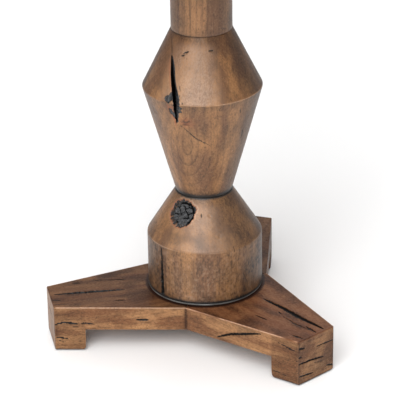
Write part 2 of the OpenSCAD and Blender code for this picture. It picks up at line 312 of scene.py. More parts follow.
def closed_line(wall, inner):
    """A wall profile and the few corners that close it inside, as one loop. Each straight stretch inside
    has a point in its middle, which keeps the shading there from leaning on the wall."""
    corners = np.array([wall[-1]] + inner + [wall[0]], float)
    middles = (corners[:-1] + corners[1:]) / 2
    inside = np.stack([middles, corners[1:]], axis=1).reshape(-1, 2)[:-1]
    return np.concatenate([wall, inside])


def on_wall(line, degrees, up):
    """The point of a turned wall at an azimuth and at a height above the base."""
    z = BASE_TOP + up
    r = np.interp(z, line[:, 1], line[:, 0])
    a = math.radians(degrees)
    return [r * math.cos(a), r * math.sin(a), z]


def band(z, centre, above, below):
    """1 at a height, falling to 0 over a distance above it and another below it."""
    return np.exp(-np.where(z > centre, (z - centre) / above, (centre - z) / below) ** 2)


def facing(azimuth, degrees, start, width):
    """1 on the side of the column that faces a direction, easing to 0 where the cosine of the angle between
    them falls to start."""
    return ease((np.cos(azimuth - math.radians(degrees)) - start) / width)


def on_turning(wall, marks):
    """Marks given as (azimuth, height above the base) pairs, put on a turned wall. Each stretch between two
    pairs gets three more points, so that it follows the round of the wall."""
    placed = []
    for pairs, *rest in marks:
        corners = np.array(pairs, float)
        at = np.linspace(0, len(corners) - 1, 4 * len(corners) - 3)
        turns, heights = (np.interp(at, np.arange(len(corners)), values) for values in corners.T)
        placed.append(([on_wall(wall, *pair) for pair in zip(turns, heights)], *rest))
    return placed


def column_grain(grid, seed, swirls=()):
    """Where each point lies in the blank, in mm: across the front, inward, and along the grain. It wanders
    a little, and is pushed aside round each swirl (point, reach, push)."""
    grain = np.stack([grid @ ACROSS, grid @ INWARD, grid[..., 2] + 700 * seed], axis=-1)
    wander = np.stack([flutter(grid, (60, 60, 150), seed), flutter(grid, (60, 60, 150), seed + 5)], axis=-1)
    grain[..., :2] += 4 * wander
    for point, reach, push in swirls:
        off = grid - np.array(point)
        off[..., 2] *= 0.55
        d = np.linalg.norm(off, axis=-1, keepdims=True) + 1e-6
        shove = push * bell(d, reach) / d
        grain[..., :1] += shove * (off @ ACROSS)[..., None]
        grain[..., 1:2] += shove * (off @ INWARD)[..., None]
    return grain


def column_figure(grain, height, middle, turn_up, strength):
    """The growth rings met by a turned face: upright lines either side of a middle, that close into a U
    below the height turn_up. The ring number is the root of across squared plus (0.45 x below) squared."""
    below = 0.45 * np.minimum(height - BASE_TOP - turn_up, 0)
    return np.stack([np.hypot(grain[..., 0] - middle, below), strength + 0 * below, 0 * below], axis=-1)


# The big check, as heights above the base and distances across the front
CHECK_FOOT, CHECK_HEAD = 298, 400
CHECK_BOW, CHECK_OUT, CHECK_LEAN = 374, -47, 7
CHECK_WIDEST, CHECK_GAP, CHECK_DEPTH = 352, 4.8, 26


def open_check(z):
    """The big check in the baluster, at each height: how far across its left edge, the right side of the
    black gap and the right edge of its torn wall lie, and how deep the gap goes. The left edge is a bow
    that bends out furthest at CHECK_BOW. The gap narrows from CHECK_WIDEST to nothing at both ends, as
    one less a power of the distance. The torn wall is two bell curves, a long one low down and a short one
    high."""
    up = z - BASE_TOP
    points = np.stack([z * 0, z * 0, z], axis=-1)
    left = CHECK_OUT + CHECK_LEAN * (np.abs(up - CHECK_BOW) / (CHECK_BOW - CHECK_FOOT)) ** 1.3
    reach = np.where(up < CHECK_WIDEST, CHECK_WIDEST - CHECK_FOOT, CHECK_HEAD - CHECK_WIDEST)
    gap = 0.1 + CHECK_GAP * (1 - np.minimum(np.abs(up - CHECK_WIDEST) / reach, 1) ** 1.25)
    torn = 5.7 * bell(up - 332, 27) + 3.2 * bell(up - 382, 16)
    wall = 0.1 + torn * ease((up - CHECK_FOOT) / 6) * ease((CHECK_HEAD - up) / 5)
    low_down = ease((CHECK_WIDEST - up) / 16) * ease((up - CHECK_FOOT - 1) / 6)
    left = left - (0.1 + 0.8 * low_down) * flutter(points, 2.9, 3)
    middle = left + gap
    right = middle + wall * (1 + 0.22 * low_down * flutter(points, 2.3, 4))
    deep = CHECK_DEPTH * ease((up - CHECK_FOOT) / 16) * ease((CHECK_HEAD + 2 - up) / 22)
    return left, middle, right, deep


def baluster_wood():
    """The double cone. Its columns of points follow the edges of the big check: between them they run
    evenly from edge to edge, and outside them they spread round the back. The gap is pushed inward along
    the front's own direction, upright on its left and rising on its right along the torn wall."""
    wall = eased_line([(TENON_R, NECK_Z), (NECK_R, NECK_Z), (BELLY_R, BELLY_Z), (SHAFT_R, SHAFT_Z),
                       (SOCKET_R, SHAFT_Z)], [1.2, 1.6, 0.5], 236, [(BELLY_Z - 10, 60, 0.5)])
    line = closed_line(wall, [(SOCKET_R, SHAFT_Z - TENON - 1), (BORE_R, SHAFT_Z - TENON - 1),
                              (BORE_R, NECK_Z - TENON), (TENON_R, NECK_Z - TENON)])
    r, z = line[:, 0], line[:, 1]
    left, middle, right, deep = open_check(z)
    lead, split, trail = (FRONT_TURN - np.arccos(np.clip(edge / np.maximum(r, 60), -0.98, 0.98))[:, None]
                          for edge in (left, middle, right))
    gap, torn = np.linspace(0, 1, 8), np.linspace(0, 1, 11)[1:]
    outside = np.linspace(0, 1, 379)[1:-1]
    outside = outside - 0.35 * np.sin(2 * np.pi * outside) / (2 * np.pi)
    azimuths = np.concatenate([lead + (split - lead) * gap, split + (trail - split) * torn,
                               trail + (lead + 2 * np.pi - trail) * outside], axis=1)
    grid, normals, finish_and_painted_light = start_turning(wall, line, azimuths)
    rows, sides = len(wall), len(gap) + len(torn)
    marks = [([(225, 420), (234, 410), (241, 400)], 1.5, 0.5, 0.15, 0.45),
             ([(257, 400), (263, 402)], 1.5, 0.8, 0.2, 0.75), ([(260, 404), (268, 407)], 1.6, 0.8, 0.3, 0.7),
             ([(298, 408), (306, 409)], 1.8, 0.8, 0.2, 0.75), ([(249, 340), (258, 343)], 11, 1.0, 1.6, 1.45),
             ([(255, 350), (254, 334)], 5, 1.0, 1.2, 1.5), ([(254, 326), (259, 311)], 6, 1.4, 1.3, 1.5),
             ([(264, 331), (268, 328)], 4.6, 0.8, 1.2, 1.4), ([(264, 326), (267, 321)], 4, 0.8, 1.0, 1.4),
             ([(262, 361), (265, 353)], 1.4, 0.5, 0.5, 0.42),
             ([(265, 349), (264, 344)], 1.4, 0.5, 0.5, 0.42),
             ([(268, 339), (269, 336)], 1.6, 0.5, 0.6, 0.5), ([(265, 299), (274, 300)], 1.8, 0.7, 0.4, 0.42),
             ([(276, 304), (274, 308), (271, 303)], 2.0, 0.5, 0.5, 0.34),
             ([(268, 306), (273, 316)], 1.6, 0.5, 0.4, 0.3), ([(265, 294), (264, 299)], 1.7, 0.5, 0.3, 0.45),
             ([(265, 297), (279, 277), (298, 261)], 1.4, 0.6, 0.45, 0.62),
             ([(340, 282), (341, 262)], 1.4, 0.6, 0.3, 0.7), ([(328, 322), (329, 311)], 1.4, 0.5, 0.2, 0.6),
             ([(60, 230), (61, 280)], 1.8, 1.5, 0.3, 1), ([(130, 380), (127, 350)], 1.4, 1.0, 0.3, 0.9),
             ([(172, 299), (180, 293)], 1.2, 0.6, 0.3, 0.8)]
    grid = cut_marks(grid, normals, finish_and_painted_light, on_turning(wall, marks), 11)

    height = grid[..., 2]
    up = height - BASE_TOP
    bump = 0.16 * flutter(grid, (14, 14, 40), 7) + 0.07 * flutter(grid, (4, 4, 12), 8)
    dents = 0.45 * ease((flutter(grid, 8, 21) - 0.62) / 0.3)
    grid[:rows] -= normals[:rows] * (0.12 + bump + dents)[:rows, :, None]
    in_gap = ease(gap / 0.1) * (1 - 0.15 * gap)
    on_torn = 0.30 * (1 - torn) ** 0.8
    push = deep[:, None] * np.concatenate([in_gap, on_torn])
    push[rows:] = 0
    grid[:, :sides] += push[..., None] * INWARD
    open_here = ease(deep / 8)[:, None]
    soot = np.ones(sides) * open_here
    ash = np.concatenate([0 * gap, 0.15 + 0.6 * torn]) * open_here
    finish_and_painted_light.char[:rows, :sides] = np.maximum(finish_and_painted_light.char[:rows, :sides], soot[:rows])
    finish_and_painted_light.ash[:rows, :sides] = np.maximum(finish_and_painted_light.ash[:rows, :sides], ash[:rows])

    lateral = grid @ ACROSS
    to_left = left[:, None] - lateral
    in_front = ((grid @ INWARD) < 0) & (to_left > -0.4)
    strip = ease((up - 338) / 10) * ease((396 - up) / 14) * open_here
    wander = 3.6 + 1.2 * flutter(grid, (9, 9, 7), 13)
    finish_and_painted_light.most("bare", 0.55 * in_front * strip * ease((wander - to_left) / 1.4 + 0.5))
    lip = 0.8 + 8.2 * ease((up - 300) / 36)
    rim = bell(to_left - lip, 1.5) * in_front * ease((up - 292) / 8) * ease((336 - up) / 6)
    finish_and_painted_light.most("bare", rim)
    inside_lip = ease((lip - to_left) / 2) * ease((up - 302) / 8) * ease((334 - up) / 6)
    finish_and_painted_light.most("bare", 0.55 * in_front * inside_lip)
    scar = np.array(on_wall(wall, 270, 304))
    to_scar = np.linalg.norm((grid - scar) * np.array([0.8, 0.8, 1]), axis=-1)
    finish_and_painted_light.most("bare", (0.75 + 0.4 * flutter(grid, 3, 15)) * bell(to_scar, 8))
    finish_and_painted_light.most("glaze", (0.58 + 0.5 * flutter(grid, 3, 14)).clip(0, 1) * bell(to_scar, 6.5))
    below_tip = bell(lateral + 38 - 0.32 * (298 - up), 2.2) * in_front * band(up, 291, 8, 9)
    finish_and_painted_light.most("bare", 0.5 * below_tip)
    finish_and_painted_light.most("glaze", 0.93 * band(height, NECK_Z, 6.5, 1) + 0.42 * band(height, NECK_Z, 20, 1))
    azimuth = np.arctan2(grid[..., 1], grid[..., 0])
    to_left_front = 0.5 + 0.5 * np.cos(azimuth - math.radians(245))
    finish_and_painted_light.most("glaze", (0.1 + 0.6 * to_left_front ** 3) * band(height, SHAFT_Z, 1, 2.4))
    finish_and_painted_light.most("glaze", 0.22 * band(height, SHAFT_Z, 1, 14))
    patchy = ease((flutter(grid, (34, 34, 20), 9) + 0.35) / 0.6)
    finish_and_painted_light.most("worn", 0.42 * patchy * band(height, BELLY_Z + 0.2, 0.9, 0.7))
    finish_and_painted_light.most("glaze", 0.36 * band(height, BELLY_Z - 2, 1, 15))
    to_right = facing(azimuth, 4, 0.70, 0.3)
    # painted shade: the sides of the double cone that are seen edge-on from the front are darkened
    painted_outline_shade = ease((0.34 - np.abs(np.cos(azimuth - FRONT_TURN - math.pi / 2))) / 0.3)
    finish_and_painted_light.most("glaze", 0.5 * painted_outline_shade)
    # painted sheen: a pale band down the upper cone where it faces the front light
    rubbed = bell(np.cos(azimuth - math.radians(274)) - 1, 0.14) * ease((height - BELLY_Z) / 2)
    uneven = 0.40 + 0.16 * flutter(grid, (16, 16, 30), 26)
    finish_and_painted_light.most("worn", rubbed * ease((SHAFT_Z - 4 - height) / 14) * uneven)
    cloud = 0.85 + 0.3 * flutter(grid, 24, 23)
    # painted shade: the upper cone darker on its right side, and the lower cone, which faces down, darker all
    # round and most on its right
    finish_and_painted_light.most("glaze", 0.55 * to_right * ease((height - BELLY_Z) / 4) * cloud)
    finish_and_painted_light.most("glaze", (0.17 + 0.45 * to_right + 0.1 * flutter(grid, 28, 34)) * (height < BELLY_Z))
    grain = column_grain(grid, 31, [(scar, 26, 8), (on_wall(wall, 256, 322), 30, 5)])
    u_here = bell(up - 238, 46) * bell(grain[..., 0] + 20, 40)
    figure = column_figure(grain, height, -20.5, 262, 0.20 + 0.42 * u_here)
    piece = skin("baluster_wood", grid, "pedestal", finish_and_painted_light, grain, "looped", figure)
    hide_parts("baluster")
    return piece


# The knot, as an azimuth and a height above the base, and the spiral that its plates lie on
KNOT_AZIMUTH, KNOT_UP = 253, 140
PLATES, PLATE_TURN, PLATE_STEP = 12, math.radians(137.5), 5.5


def weathered_knot(grid, normals, finish_and_painted_light, azimuth, up, seed):
    """A loose knot in the sloping shoulder. Inside a ragged edge the wood is charred and broken into
    plates: the height is a dome on each plate, down to the cracks between them, where the distances to
    the two nearest plate centres are equal. The centres lie on a spiral, each 137.5 degrees on from the
    last and out by the root of its number. A deep gap runs round its upper and right sides, and raw
    wood shows round the edge."""
    slope = math.atan2(NECK_Z - SHOULDER_Z, DRUM_R - NECK_R)
    turn = np.arctan2(grid[..., 1], grid[..., 0]) - azimuth
    radius = np.hypot(grid[..., 0], grid[..., 1])
    near = (np.cos(turn) > 0.7) & (np.abs(grid[..., 2] - BASE_TOP - up) < 30) & (radius > 34)
    near &= np.hypot(radius * np.sin(turn), (grid[..., 2] - BASE_TOP - up) / math.sin(slope)) < 33
    u = (radius * np.sin(turn))[near]
    v = ((grid[..., 2] - BASE_TOP - up) / math.sin(slope))[near]
    rho, theta = np.hypot(u, v), np.arctan2(v, u)
    flat = np.stack([u, v, 0 * u], axis=-1)
    ring = np.stack([15 * np.cos(theta), 15 * np.sin(theta), 0 * theta], axis=-1)
    edge = 22.2 + 1.8 * np.cos(theta - math.radians(212)) + 0.9 * flutter(ring, 4, seed)
    edge += 1.4 * flutter(ring, 1.5, seed + 1)
    core = 16.6 + 1.2 * np.cos(theta + math.radians(50)) + 0.7 * flutter(ring, 4, seed + 2)
    open_side = ease((np.cos(theta - math.radians(38)) + 0.15) / 0.4)
    count = np.arange(1, PLATES + 1)
    turns = PLATE_TURN * count + math.radians(200)
    plates = PLATE_STEP * np.sqrt(count)[:, None] * np.stack([np.cos(turns), np.sin(turns)], axis=-1)
    bend = np.stack([flutter(flat, 3.4, seed + 7), flutter(flat, 3.4, seed + 8)], axis=-1)
    bent = flat[:, :2] + 1.1 * bend
    apart = np.sort(np.hypot(bent[:, :1] - plates[:, 0], bent[:, 1:] - plates[:, 1]), axis=1)
    crack = 1 - ease((apart[:, 1] - apart[:, 0] - 0.2) / 1.5)
    crack *= ease((flutter(flat, 7, seed + 9) + 0.75) / 0.6)
    rough = 0.6 * flutter(flat, (2.6, 1.7, 2), seed + 4) + 0.5 * flutter(flat, 1.1, seed + 5)
    inside = ease((edge - rho) / 1.0 + 0.3)
    in_core = ease((core - rho) / 1.0 + 0.5)
    moat = bell(rho - core - 0.7, 1.0) * open_side
    notches = 0.5 + 0.5 * flutter(ring, 1.2, seed + 6)
    depth = inside * (1.1 + 1.1 * notches * (1 - in_core)) + in_core * (0.5 + 1.5 * rough + 4.2 * crack)
    depth += 6 * moat * inside
    moved = grid.copy()
    moved[near] -= normals[near] * np.maximum(depth, 0)[:, None]
    char, ash, bare, worn = (np.zeros(grid.shape[:-1]) for _ in range(4))
    on_rim = (1 - in_core) * inside
    char[near] = np.clip(in_core + moat * inside + on_rim * (0.25 + 0.7 * notches + 0.3 * rough), 0, 1)
    weathered = in_core * (0.70 + 0.45 * rough - 1.2 * crack) - moat + 0.35 * on_rim * notches
    ash[near] = np.clip(weathered, 0, 0.85)
    bare[near] = 0.85 * bell(rho - edge, 1.6)
    worn[near] = 0.5 * bell(rho - edge - 2.4, 1.6) * (0.35 + 0.65 * open_side)
    for name, amount in (("char", char), ("ash", ash), ("bare", bare), ("worn", worn)):
        finish_and_painted_light.most(name, amount)
    return moved


def drum_wood():
    """The drum: a straight wall under a sloping shoulder, with a weathered knot and one long check."""
    wall = eased_line([(FOOT_TENON_R, RING_TOP), (DRUM_R, RING_TOP), (DRUM_R, SHOULDER_Z), (NECK_R, NECK_Z),
                       (SOCKET_R, NECK_Z)], [1.5, 2.4, 1.0], 244, [(BASE_TOP + KNOT_UP, 22, 2.0)])
    line = closed_line(wall, [(SOCKET_R, NECK_Z - TENON - 1), (BORE_R, NECK_Z - TENON - 1),
                              (BORE_R, BASE_TOP - 14), (FOOT_TENON_R, BASE_TOP - 14)])
    knot_at = math.radians(KNOT_AZIMUTH)
    azimuths = crowded(391, knot_at - math.pi, knot_at + math.pi,
                       [(knot_at, 0.42, 2.6), (knot_at, 1.3, 0.8)])
    grid, normals, finish_and_painted_light = start_turning(wall, line, azimuths[None, :-1])
    rows = len(wall)
    marks = [([(239, 95), (241, 50)], 2.6, 3.0, 0.3, 1),
             ([(240, 67), (240, 8), (240, -14)], 7.2, 5.0, 1.0, 1),
             ([(236, 45), (236, 15)], 1.9, 0.5, 0.5, 0.5), ([(232, 82), (232, 60)], 1.4, 0.4, 0.4, 0.4),
             ([(329, 47), (334, 28)], 2.8, 0.5, 0.9, 0.4), ([(283, 143), (284, 137)], 1.4, 0.7, 0.3, 0.5),
             ([(287, 87), (288, 72)], 1.0, 0.3, 0.3, 0.25), ([(300, 90), (301, 60)], 1.1, 0.3, 0.2, 0.3),
             ([(318, 97), (319, 86)], 1.6, 0.5, 0.3, 0.5), ([(95, 87), (96, 19)], 2.6, 3.0, 0.4, 1),
             ([(12, 67), (13, 39)], 1.5, 1.0, 0.3, 0.8)]
    grid = cut_marks(grid, normals, finish_and_painted_light, on_turning(wall, marks), 41)
    grid = weathered_knot(grid, normals, finish_and_painted_light, knot_at, KNOT_UP, 5)
    height = grid[..., 2]
    bump = 0.18 * flutter(grid, (15, 15, 42), 17) + 0.07 * flutter(grid, (4, 4, 12), 18)
    dents = 0.5 * ease((flutter(grid, 9, 22) - 0.6) / 0.3)
    grid[:rows] -= normals[:rows] * (0.12 + bump + dents)[:rows, :, None]
    azimuth = np.arctan2(grid[..., 1], grid[..., 0])
    # painted shade: the drum darker towards its right and left edges, the right more on the shoulder and the
    # left more on the wall
    to_right = facing(azimuth, 348, 0.35, 0.6)
    to_left = facing(azimuth, 222, 0.55, 0.5)
    cloud = 0.85 + 0.4 * flutter(grid, 26, 25)
    finish_and_painted_light.most("glaze", 0.66 * to_right * cloud * ease((height - SHOULDER_Z + 2) / 5))
    finish_and_painted_light.most("glaze", 0.58 * to_right * cloud + to_left * cloud * (0.30 + 0.36 * (height < SHOULDER_Z)))
    curls = flutter(grid, (3.2, 3.2, 3.8), 36) + 0.4 * flutter(grid, 1.8, 37)
    on_drum_wall = ease((SHOULDER_Z - height) / 6)
    finish_and_painted_light.glaze = finish_and_painted_light.glaze + 0.30 * ease((curls - 0.1) / 0.6) * (0.35 + 0.65 * on_drum_wall)
    finish_and_painted_light.most("worn", 0.22 * ease((-curls - 0.15) / 0.6) * on_drum_wall)
    # painted sheen: a pale band on the shoulder where it faces the front light
    rubbed = bell(np.cos(azimuth - math.radians(284)) - 1, 0.22) * ease((height - SHOULDER_Z) / 3)
    uneven = 0.24 + 0.14 * flutter(grid, (16, 16, 26), 28)
    finish_and_painted_light.most("worn", rubbed * ease((NECK_Z - 5 - height) / 12) * uneven)
    smoke = 0.40 * ease((flutter(grid, (24, 24, 18), 32) + 0.2) / 0.8)
    finish_and_painted_light.most("glaze", smoke)
    finish_and_painted_light.most("glaze", 0.9 * band(height, RING_TOP, 3.5, 1) + 0.38 * band(height, RING_TOP, 15, 1))
    finish_and_painted_light.most("glaze", 0.8 * band(height, NECK_Z, 1, 2.2) + 0.42 * band(height, NECK_Z, 1, 11))
    patchy = ease((flutter(grid, (36, 36, 20), 19) + 0.4) / 0.6)
    finish_and_painted_light.most("worn", 0.42 * patchy * band(height, SHOULDER_Z + 0.2, 1.0, 1.0))
    grain = column_grain(grid, 51, [(on_wall(wall, KNOT_AZIMUTH, KNOT_UP), 34, 12)])
    up = height - BASE_TOP
    figure = column_figure(grain, height, 12, -60, 0.12 + 0.2 * band(up, 45, 30, 30))
    piece = skin("drum_wood", grid, "pedestal", finish_and_painted_light, grain, "looped", figure)
    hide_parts("drum")
    return piece


def shaft_wood():
    """The straight shaft between the baluster and the head block, with a glue line down the front."""
    corners = [(TENON_R, SHAFT_Z), (SHAFT_R, SHAFT_Z), (SHAFT_R, BLOCK_UNDER), (TENON_R, BLOCK_UNDER)]
    wall = eased_line(corners, [0.6, 0.8], 110)
    line = closed_line(wall, [(TENON_R, BLOCK_UNDER + 20), (BORE_R, BLOCK_UNDER + 20),
                              (BORE_R, SHAFT_Z - TENON), (TENON_R, SHAFT_Z - TENON)])
    front = math.radians(270)
    azimuths = crowded(281, front - math.pi, front + math.pi, [(front, 1.1, 1.2)])
    grid, normals, finish_and_painted_light = start_turning(wall, line, azimuths[None, :-1])
    rows = len(wall)
    marks = [([(264, 540), (268, 430)], 1.5, 0.35, 0.1, 0.34),
             ([(300, 517), (301, 493)], 1.3, 0.4, 0.2, 0.4), ([(240, 520), (241, 470)], 1.2, 0.3, 0.2, 0.35),
             ([(100, 527), (101, 467)], 1.6, 1.4, 0.3, 1)]
    grid = cut_marks(grid, normals, finish_and_painted_light, on_turning(wall, marks), 61)
    height = grid[..., 2]
    bump = 0.15 * flutter(grid, (14, 14, 46), 27) + 0.06 * flutter(grid, (4, 4, 12), 28)
    grid[:rows] -= normals[:rows] * (0.10 + bump)[:rows, :, None]
    azimuth = np.arctan2(grid[..., 1], grid[..., 0])
    cloud = 0.85 + 0.4 * flutter(grid, 22, 29)
    # painted shade: the shaft darker towards its left and right edges
    finish_and_painted_light.most("glaze", 0.62 * facing(azimuth, 212, 0.6, 0.4) * cloud)
    finish_and_painted_light.most("glaze", 0.52 * facing(azimuth, 2, 0.55, 0.4) * cloud)
    to_left_front = 0.5 + 0.5 * np.cos(azimuth - math.radians(245))
    finish_and_painted_light.most("glaze", (0.2 + 0.6 * to_left_front ** 3) * band(height, SHAFT_Z, 2.0, 1))
    finish_and_painted_light.most("glaze", 0.26 * band(height, SHAFT_Z, 14, 1) + 0.7 * band(height, BLOCK_UNDER, 1, 5))
    grain = column_grain(grid, 75)
    figure = column_figure(grain, height, 60, -900, 0.3)
    piece = skin("shaft_wood", grid, "pedestal", finish_and_painted_light, grain, "looped", figure)
    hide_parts("shaft")
    return piece


def foot_ring_wood():
    """The thin ring under the drum: a half-round bead, with a highlight painted along the middle of its
    outside.
    """
    middle, swell = (BASE_TOP + RING_TOP) / 2, (RING_TOP - BASE_TOP) / 2
    turn = np.linspace(-math.pi / 2, math.pi / 2, 13)
    bead = np.stack([DRUM_R - 1.6 + 1.6 * np.cos(turn), middle + (swell - 0.15) * np.sin(turn)], axis=-1)
    line = closed_line(bead, [(FOOT_TENON_R + 0.1, RING_TOP - 0.15), (FOOT_TENON_R + 0.1, BASE_TOP + 0.15)])
    grid = turned_grid(line, np.linspace(0, 2 * np.pi, 241)[None, :-1])
    finish_and_painted_light = FinishAndPaintedLight(grid)
    # painted highlight: the bead's outermost line is marked for a grey gleam
    on_bead = np.concatenate([np.cos(turn) ** 3, np.zeros(len(line) - len(bead))])[:, None]
    finish_and_painted_light.most("worn", on_bead * (0.5 + 0.35 * flutter(grid, 14, 33)))
    piece = skin("foot_ring_wood", grid, "pedestal", finish_and_painted_light, grid.copy(), "looped")
    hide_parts("foot_ring")
    return piece


# ---------------------------------------------------------------- bars: legs and planks

def section(top, side, under, top_cut, under_cut, arc=5):
    """One ring of a bar's cross-section, as four rows: tau runs from -1 to 1 across the bar, inset is how
    far the point lies inside the full width, up is 1 at the top and 0 underneath, and rise is added to
    the height. Its corners are quarter rounds of top_cut and under_cut."""
    turn = np.linspace(0, math.pi / 2, arc)
    across = np.linspace(-1, 1, top)
    down = np.linspace(1, 0, side)[1:-1]
    bits = [(across, top_cut + 0 * across, 1 + 0 * across, 0 * across)]
    t = turn[1:]
    bits.append((1 + 0 * t, top_cut * (1 - np.sin(t)), 1 + 0 * t, -top_cut * (1 - np.cos(t))))
    bits.append((1 + 0 * down, 0 * down, down, -top_cut * down + under_cut * (1 - down)))
    bits.append((1 + 0 * turn, under_cut * (1 - np.cos(turn)), 0 * turn, under_cut * (1 - np.sin(turn))))
    back = np.linspace(1, -1, under)[1:-1]
    bits.append((back, under_cut + 0 * back, 0 * back, 0 * back))
    t = turn[::-1]
    bits.append((-1 + 0 * t, under_cut * (1 - np.cos(t)), 0 * t, under_cut * (1 - np.sin(t))))
    climb = down[::-1]
    bits.append((-1 + 0 * climb, 0 * climb, climb, -top_cut * climb + under_cut * (1 - climb)))
    t = turn[::-1][:-1]
    bits.append((-1 + 0 * t, top_cut * (1 - np.sin(t)), 1 + 0 * t, -top_cut * (1 - np.cos(t))))
    return np.concatenate([np.array(bit) for bit in bits], axis=1)


def half_width(u):
    """Half the width of a leg at a distance along it: a straight taper from the hub's corner to the tip."""
    return np.interp(u, [HUB_U, LEG_REACH], [HUB_V, LEG_TIP_W / 2])


def leg_wood(name, degrees, marks, seed):
    """A mitred leg with its foot block. The path runs from the two mitred faces at the hub, straightens
    on the way to the foot, drops to the floor there and ends in a flat end. Worked out along +X and
    then turned to its place. Marks are given along, across and up."""
    top_cut, under_cut, cap_cut = 1.5, 3.2, 1.4
    tau, inset, up, rise = section(150, 38, 26, top_cut, under_cut)
    foot_at, tip = LEG_REACH - FOOT_L, LEG_REACH
    mitre_u = np.abs(tau) * HUB_U
    out = np.linspace(0, 1, 122)[:, None]
    steps = [0.05, 0.6, 1.4, 2.6, 4.2]
    foot_run = np.concatenate([steps, np.linspace(6, FOOT_L - cap_cut, 32)])[:, None]
    turn = np.linspace(0, math.pi / 2, 5)[1:, None]
    cap_run, cap_in = FOOT_L - cap_cut * (1 - np.sin(turn)), cap_cut * (1 - np.cos(turn))
    # along, half width, underside and inward shrink of every ring
    past_foot = foot_at + np.concatenate([foot_run, cap_run])
    along = np.concatenate([mitre_u * (1 - out) + foot_at * out, past_foot + 0 * tau])
    half = np.concatenate([HUB_V + (half_width(foot_at) - HUB_V) * out, half_width(past_foot)])
    shrink = np.concatenate([np.interp(out, [0, 0.003, 0.01], [0.06, 0.03, 0]), 0 * foot_run, cap_in])
    toe = np.interp(np.concatenate([foot_run, cap_run]), [0, 0.6, 1.4, 2.6, 4.2], [14, 4, 1.6, 0.5, 0])
    floor = np.concatenate([SLAB_UNDER + 0 * out, FOOT_UNDER + 0.1 + toe])
    across = tau * (half - shrink - inset)
    height = (floor + shrink) * (1 - up) + (BASE_TOP - shrink) * up + rise
    grid = np.stack([along, across, height], axis=-1)
    shell = len(grid)
    middle = np.array([tip, 0, (BASE_TOP + FOOT_UNDER) / 2])
    closing = np.linspace(1, 0.02, 34)[1:, None, None]
    grid = np.concatenate([grid, middle + (grid[-1:] - middle) * closing])

    normals = np.zeros_like(grid)
    flat = (np.abs(tau) < 0.999) & (inset > 0)
    side_slope = math.atan2(HUB_V - LEG_TIP_W / 2, tip - HUB_U)
    on_side = np.abs(tau) > 0.999
    normals[:shell, :, 2] = np.where(flat, np.where(up > 0.5, 1, -1), 0)
    normals[:shell, :, 0] = np.where(on_side, math.sin(side_slope), 0)
    normals[:shell, :, 1] = np.where(on_side, np.sign(tau) * math.cos(side_slope), 0)
    normals[shell:, :, 0] = 1
    finish_and_painted_light = FinishAndPaintedLight(grid)
    grid = cut_marks(grid, normals, finish_and_painted_light, marks, seed)

    x, y, z = grid[..., 0], grid[..., 1], grid[..., 2]
    edge_off = half_width(x) - np.abs(y)
    bump = 0.16 * flutter(grid, (46, 14, 14), seed + 1) + 0.07 * flutter(grid, (14, 4, 4), seed + 2)
    dents = 0.6 * ease((flutter(grid, 9, seed + 3) - 0.6) / 0.3)
    keep_in = 0.12 + bump + dents
    grid -= normals * np.clip(keep_in, 0, 2)[..., None]
    near_top = bell(BASE_TOP - z, 1.2)
    near_side = bell(edge_off, 1.3)
    wear_and_gleam = ease((flutter(grid, (26, 12, 12), seed + 4) + 0.75) / 0.7)
    # edge wear and a painted highlight: a pale line along both top edges, left off the rear leg, which faces
    # away
    finish_and_painted_light.most("worn", 0.95 * near_top * near_side * wear_and_gleam * ease((tip - x) / 5) * (name != "leg_rear"))
    smudges = 0.8 + 0.4 * flutter(grid, 7, seed + 7)
    finish_and_painted_light.most("glaze", 0.85 * near_top * ease((x - tip + 4.5) / 3) * smudges)
    on_foot = ease((x - foot_at + 2) / 4)
    cloud = 0.8 + 0.5 * flutter(grid, (18, 18, 12), seed + 8)
    finish_and_painted_light.most("glaze", on_foot * bell(z - FOOT_UNDER, 2.6))
    finish_and_painted_light.most("glaze", 0.42 * on_foot * cloud * bell(z - FOOT_UNDER, 12))
    end_grain = ease((x - tip + 1.2) / 0.8)
    # painted reflection: the end of the left leg is lightened where it catches glare
    if name == "leg_left":
        finish_and_painted_light.most("worn", end_grain * (0.2 + 0.15 * cloud))
    finish_and_painted_light.most("glaze", end_grain * (0.30 * cloud + 0.5 * bell(edge_off, 3.2)))
    upright = bell(tip - x, 1.5) * bell(edge_off, 1.5) * (z < BASE_TOP - 5)
    finish_and_painted_light.most("worn", 0.16 * upright * wear_and_gleam)
    finish_and_painted_light.most("glaze", 0.6 * bell(tip - x - 2.5, 2.2) * bell(edge_off, 2) * cloud)
    finish_and_painted_light.most("glaze", 0.5 * cloud * bell(tip - x, 16) * bell(edge_off, 2) * (x < tip - 2))
    mitre_off = np.abs(x) * math.sin(math.radians(60)) - np.abs(y) * math.cos(math.radians(60))
    on_flank = bell(edge_off, 1.2) * (z < BASE_TOP - 1.5)
    finish_and_painted_light.most("glaze", on_flank * (0.5 * bell(mitre_off, 2.2) + 0.4 * bell(mitre_off, 5)))
    finish_and_painted_light.most("glaze", 0.35 * bell(mitre_off, 1.0))
    # painted shade: the flanks of the rear leg, which lie behind the drum, are darkened
    if name == "leg_rear":
        finish_and_painted_light.most("glaze", (0.6 + 0.1 * cloud) * bell(edge_off, 1.2) * (z < BASE_TOP - 1))
    from_drum = np.maximum(np.hypot(x, y) - DRUM_R, 0)
    on_top = ease((z - BASE_TOP + 3) / 2)
    # painted shade: the tops of the legs darkened next to the drum
    finish_and_painted_light.most("glaze", on_top * (0.9 * bell(from_drum, 5) + 0.5 * bell(from_drum, 13)))
    smoky = ease((flutter(grid, (30, 12, 12), seed + 9) + 0.3) / 0.9)
